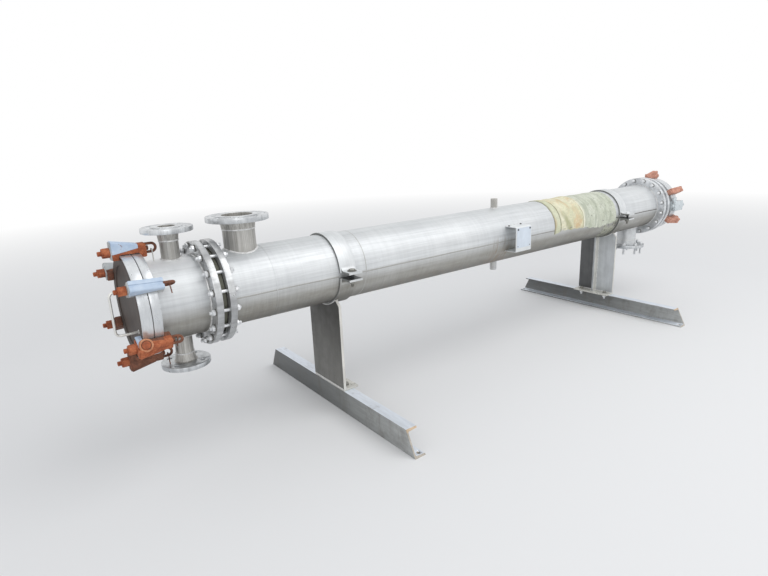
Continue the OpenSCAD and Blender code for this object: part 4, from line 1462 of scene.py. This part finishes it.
def wrap():
    """Stuck wrap on the shell between mid-length and the far strap."""
    x0, x1 = 1350.0, 1945.0
    a0 = -88.0
    nx, na = 230, 130
    bm = bmesh.new()
    grid = []

    def lower(x):
        for (xa, aa), (xb, ab) in zip(WRAP_EDGE, WRAP_EDGE[1:]):
            if x <= xb:
                k = (x - xa) / (xb - xa)
                k = k * k * (3 - 2 * k)
                return aa + (ab - aa) * k + 0.9 * math.sin(x * 0.11) + 0.5 * math.sin(x * 0.31 + 1)
        return WRAP_EDGE[-1][1]

    for i in range(nx + 1):
        x = x0 + (x1 - x0) * i / nx
        end = lower(x)
        row = []
        for j in range(na + 1):
            t = j / na
            a = a0 + (end - a0) * t
            ragged = 1.6 * math.sin(a * 0.11) + 1.1 * math.sin(a * 0.37 + 1)
            xx = x
            if i == 0:
                xx = x + ragged
            elif i == nx:
                xx = x - abs(ragged) * 0.6
            # A taut band at the start, then slack wrap with a fold across it.
            fold = 1600 + 0.2 * max(0.0, a)
            swell = 0.9 + 0.5 * math.sin(x * 0.021 + a * 0.05)
            swell += 0.35 * math.sin(x * 0.083 + a * 0.19)
            swell += 3.2 * math.exp(-((x - fold + 4 * math.sin(a * 0.2)) / 8.0) ** 2)
            swell += 1.2 * math.exp(-((x - 1480 - 0.4 * a - 6 * math.sin(a * 0.13)) / 8.0) ** 2)
            swell += 0.9 * math.exp(-((x - 1700 + 0.3 * a - 5 * math.sin(a * 0.16)) / 6.0) ** 2)
            swell += 1.0 * math.exp(-((x - 1830 + 7 * math.sin(a * 0.09)) / 7.0) ** 2)
            if x < 1398:
                swell = 2.6
            elif x < 1408:
                swell = 0.1
            # Its lower edge has come away from the shell past the fold.
            loose = max(0.0, 1.0 - (abs(x - 1725) / 90.0) ** 4)
            loose *= max(0.0, (a - end + 22.0) / 22.0) ** 2
            swell += 5.0 * loose
            edge = min(i / 2.0, (nx - i) / 2.0, j / 2.0, max((na - j) / 2.0, loose), 1.0)
            r = SHELL_R + 0.2 + max(0.1, swell) * (0.25 + 0.75 * edge)
            row.append(bm.verts.new(shell_point(xx, a, r)))
        grid.append(row)
    for i in range(nx):
        for j in range(na):
            bm.faces.new((grid[i][j], grid[i][j + 1], grid[i + 1][j + 1], grid[i + 1][j]))
    # Skirt down into the shell's wall, so that no edge stands open to view.
    rim = grid[0] + [row[na] for row in grid[1:]]
    rim += grid[nx][na - 1::-1] + [row[0] for row in grid[nx - 1:0:-1]]
    low = []
    for v in rim:
        y, z = v.co.y, v.co.z - AXIS_Z
        k = (SHELL_R - 1.0) / math.hypot(y, z)
        low.append(bm.verts.new((v.co.x, y * k, AXIS_Z + z * k)))
    m = len(rim)
    sheet = len(bm.faces)
    for i in range(m):
        bm.faces.new((rim[i], rim[(i + 1) % m], low[(i + 1) % m], low[i]))
    bmesh.ops.recalc_face_normals(bm, faces=bm.faces)
    b = Build()
    b.take(bm, to_row())
    obj = b.piece("wrap_residue_sheet", [WRAP, TORN_AND_SHADE], "plate_metal", smooth=60)
    # The skirt takes the torn-edge colour, which is partly painted shade under the wrap's edge.
    for i in range(sheet, sheet + m):
        obj.data.polygons[i].material_index = 1


wrap()


# Stage and camera

def stage():
    s = 40.0
    mesh = bpy.data.meshes.new("floor")
    mesh.from_pydata([(-s, -s, 0), (s, -s, 0), (s, s, 0), (-s, s, 0)], [], [(0, 1, 2, 3)])
    floor = bpy.data.objects.new("floor", mesh)
    scene.collection.objects.link(floor)
    m = Shader("floor_pale", 0.0, 0.9)
    m.bsdf.inputs["Base Color"].default_value = (0.8, 0.8, 0.8, 1)
    m.bsdf.inputs["Specular IOR Level"].default_value = 0.2
    # Far from the part the floor turns as white as the background behind it.
    far = m.add("ShaderNodeVectorMath", {0: m.coord}, operation="LENGTH").outputs["Value"]
    fade = m.ramp(m.times(far, 0.1), (0.26, 0.0), (0.85, 1.0))
    glow = m.add("ShaderNodeEmission", {"Color": (1, 1, 1, 1), "Strength": 1.0}).outputs[0]
    both = m.add("ShaderNodeMixShader", {0: m.times(fade, m.seen()), 1: m.bsdf.outputs[0], 2: glow})
    m.tree.links.new(both.outputs[0], m.tree.nodes["Material Output"].inputs["Surface"])
    mesh.materials.append(m.mat)


stage()


def light(name, place, target, size, energy):
    data = bpy.data.lights.new(name, "AREA")
    data.shape = "DISK"
    data.size = size
    data.energy = energy
    obj = bpy.data.objects.new(name, data)
    scene.collection.objects.link(obj)
    obj.location = place
    obj.rotation_euler = (Vector(target) - Vector(place)).to_track_quat("-Z", "Y").to_euler()


light("sky", (1.2, -2.6, 4.7), (0.4, 0, 0.5), 5.0, 104)
light("front", (-3.2, -5.0, 3.0), (0, 0, 0.5), 3.0, 40)

world = bpy.data.worlds.new("studio")
scene.world = world
world.use_nodes = True
nodes = Nodes(world.node_tree)
soft = nodes.tree.nodes["Background"]
soft.inputs[0].default_value = (0.95, 0.97, 1.0, 1)
soft.inputs[1].default_value = 0.74
white = nodes.add("ShaderNodeBackground", {0: (1, 1, 1, 1), 1: 1.0})
pick = nodes.add("ShaderNodeMixShader", {0: nodes.seen(), 1: soft.outputs[0], 2: white.outputs[0]})
nodes.tree.links.new(pick.outputs[0], nodes.tree.nodes["World Output"].inputs[0])


def camera():
    yaw, pitch, roll, focal = 0.64, 0.269, -0.042, 529.99
    eye = Vector((-1037.3 - X_MID, -1811.6, 1074.1)) * MM
    photo_width, sensor = 768, 36.0
    ahead = Vector((math.sin(yaw) * math.cos(pitch), math.cos(yaw) * math.cos(pitch),
                    -math.sin(pitch)))
    right = Vector((math.cos(yaw), -math.sin(yaw), 0))
    above = right.cross(ahead)
    side = math.cos(roll) * right + math.sin(roll) * above
    top = -math.sin(roll) * right + math.cos(roll) * above
    data = bpy.data.cameras.new("camera")
    obj = bpy.data.objects.new("camera", data)
    scene.collection.objects.link(obj)
    m = Matrix((side, top, -ahead)).transposed().to_4x4()
    m.translation = eye
    obj.matrix_world = m
    data.sensor_width = sensor
    data.lens = focal / photo_width * sensor
    data.clip_end = 100
    scene.camera = obj


camera()
scene.view_settings.view_transform = "Standard"
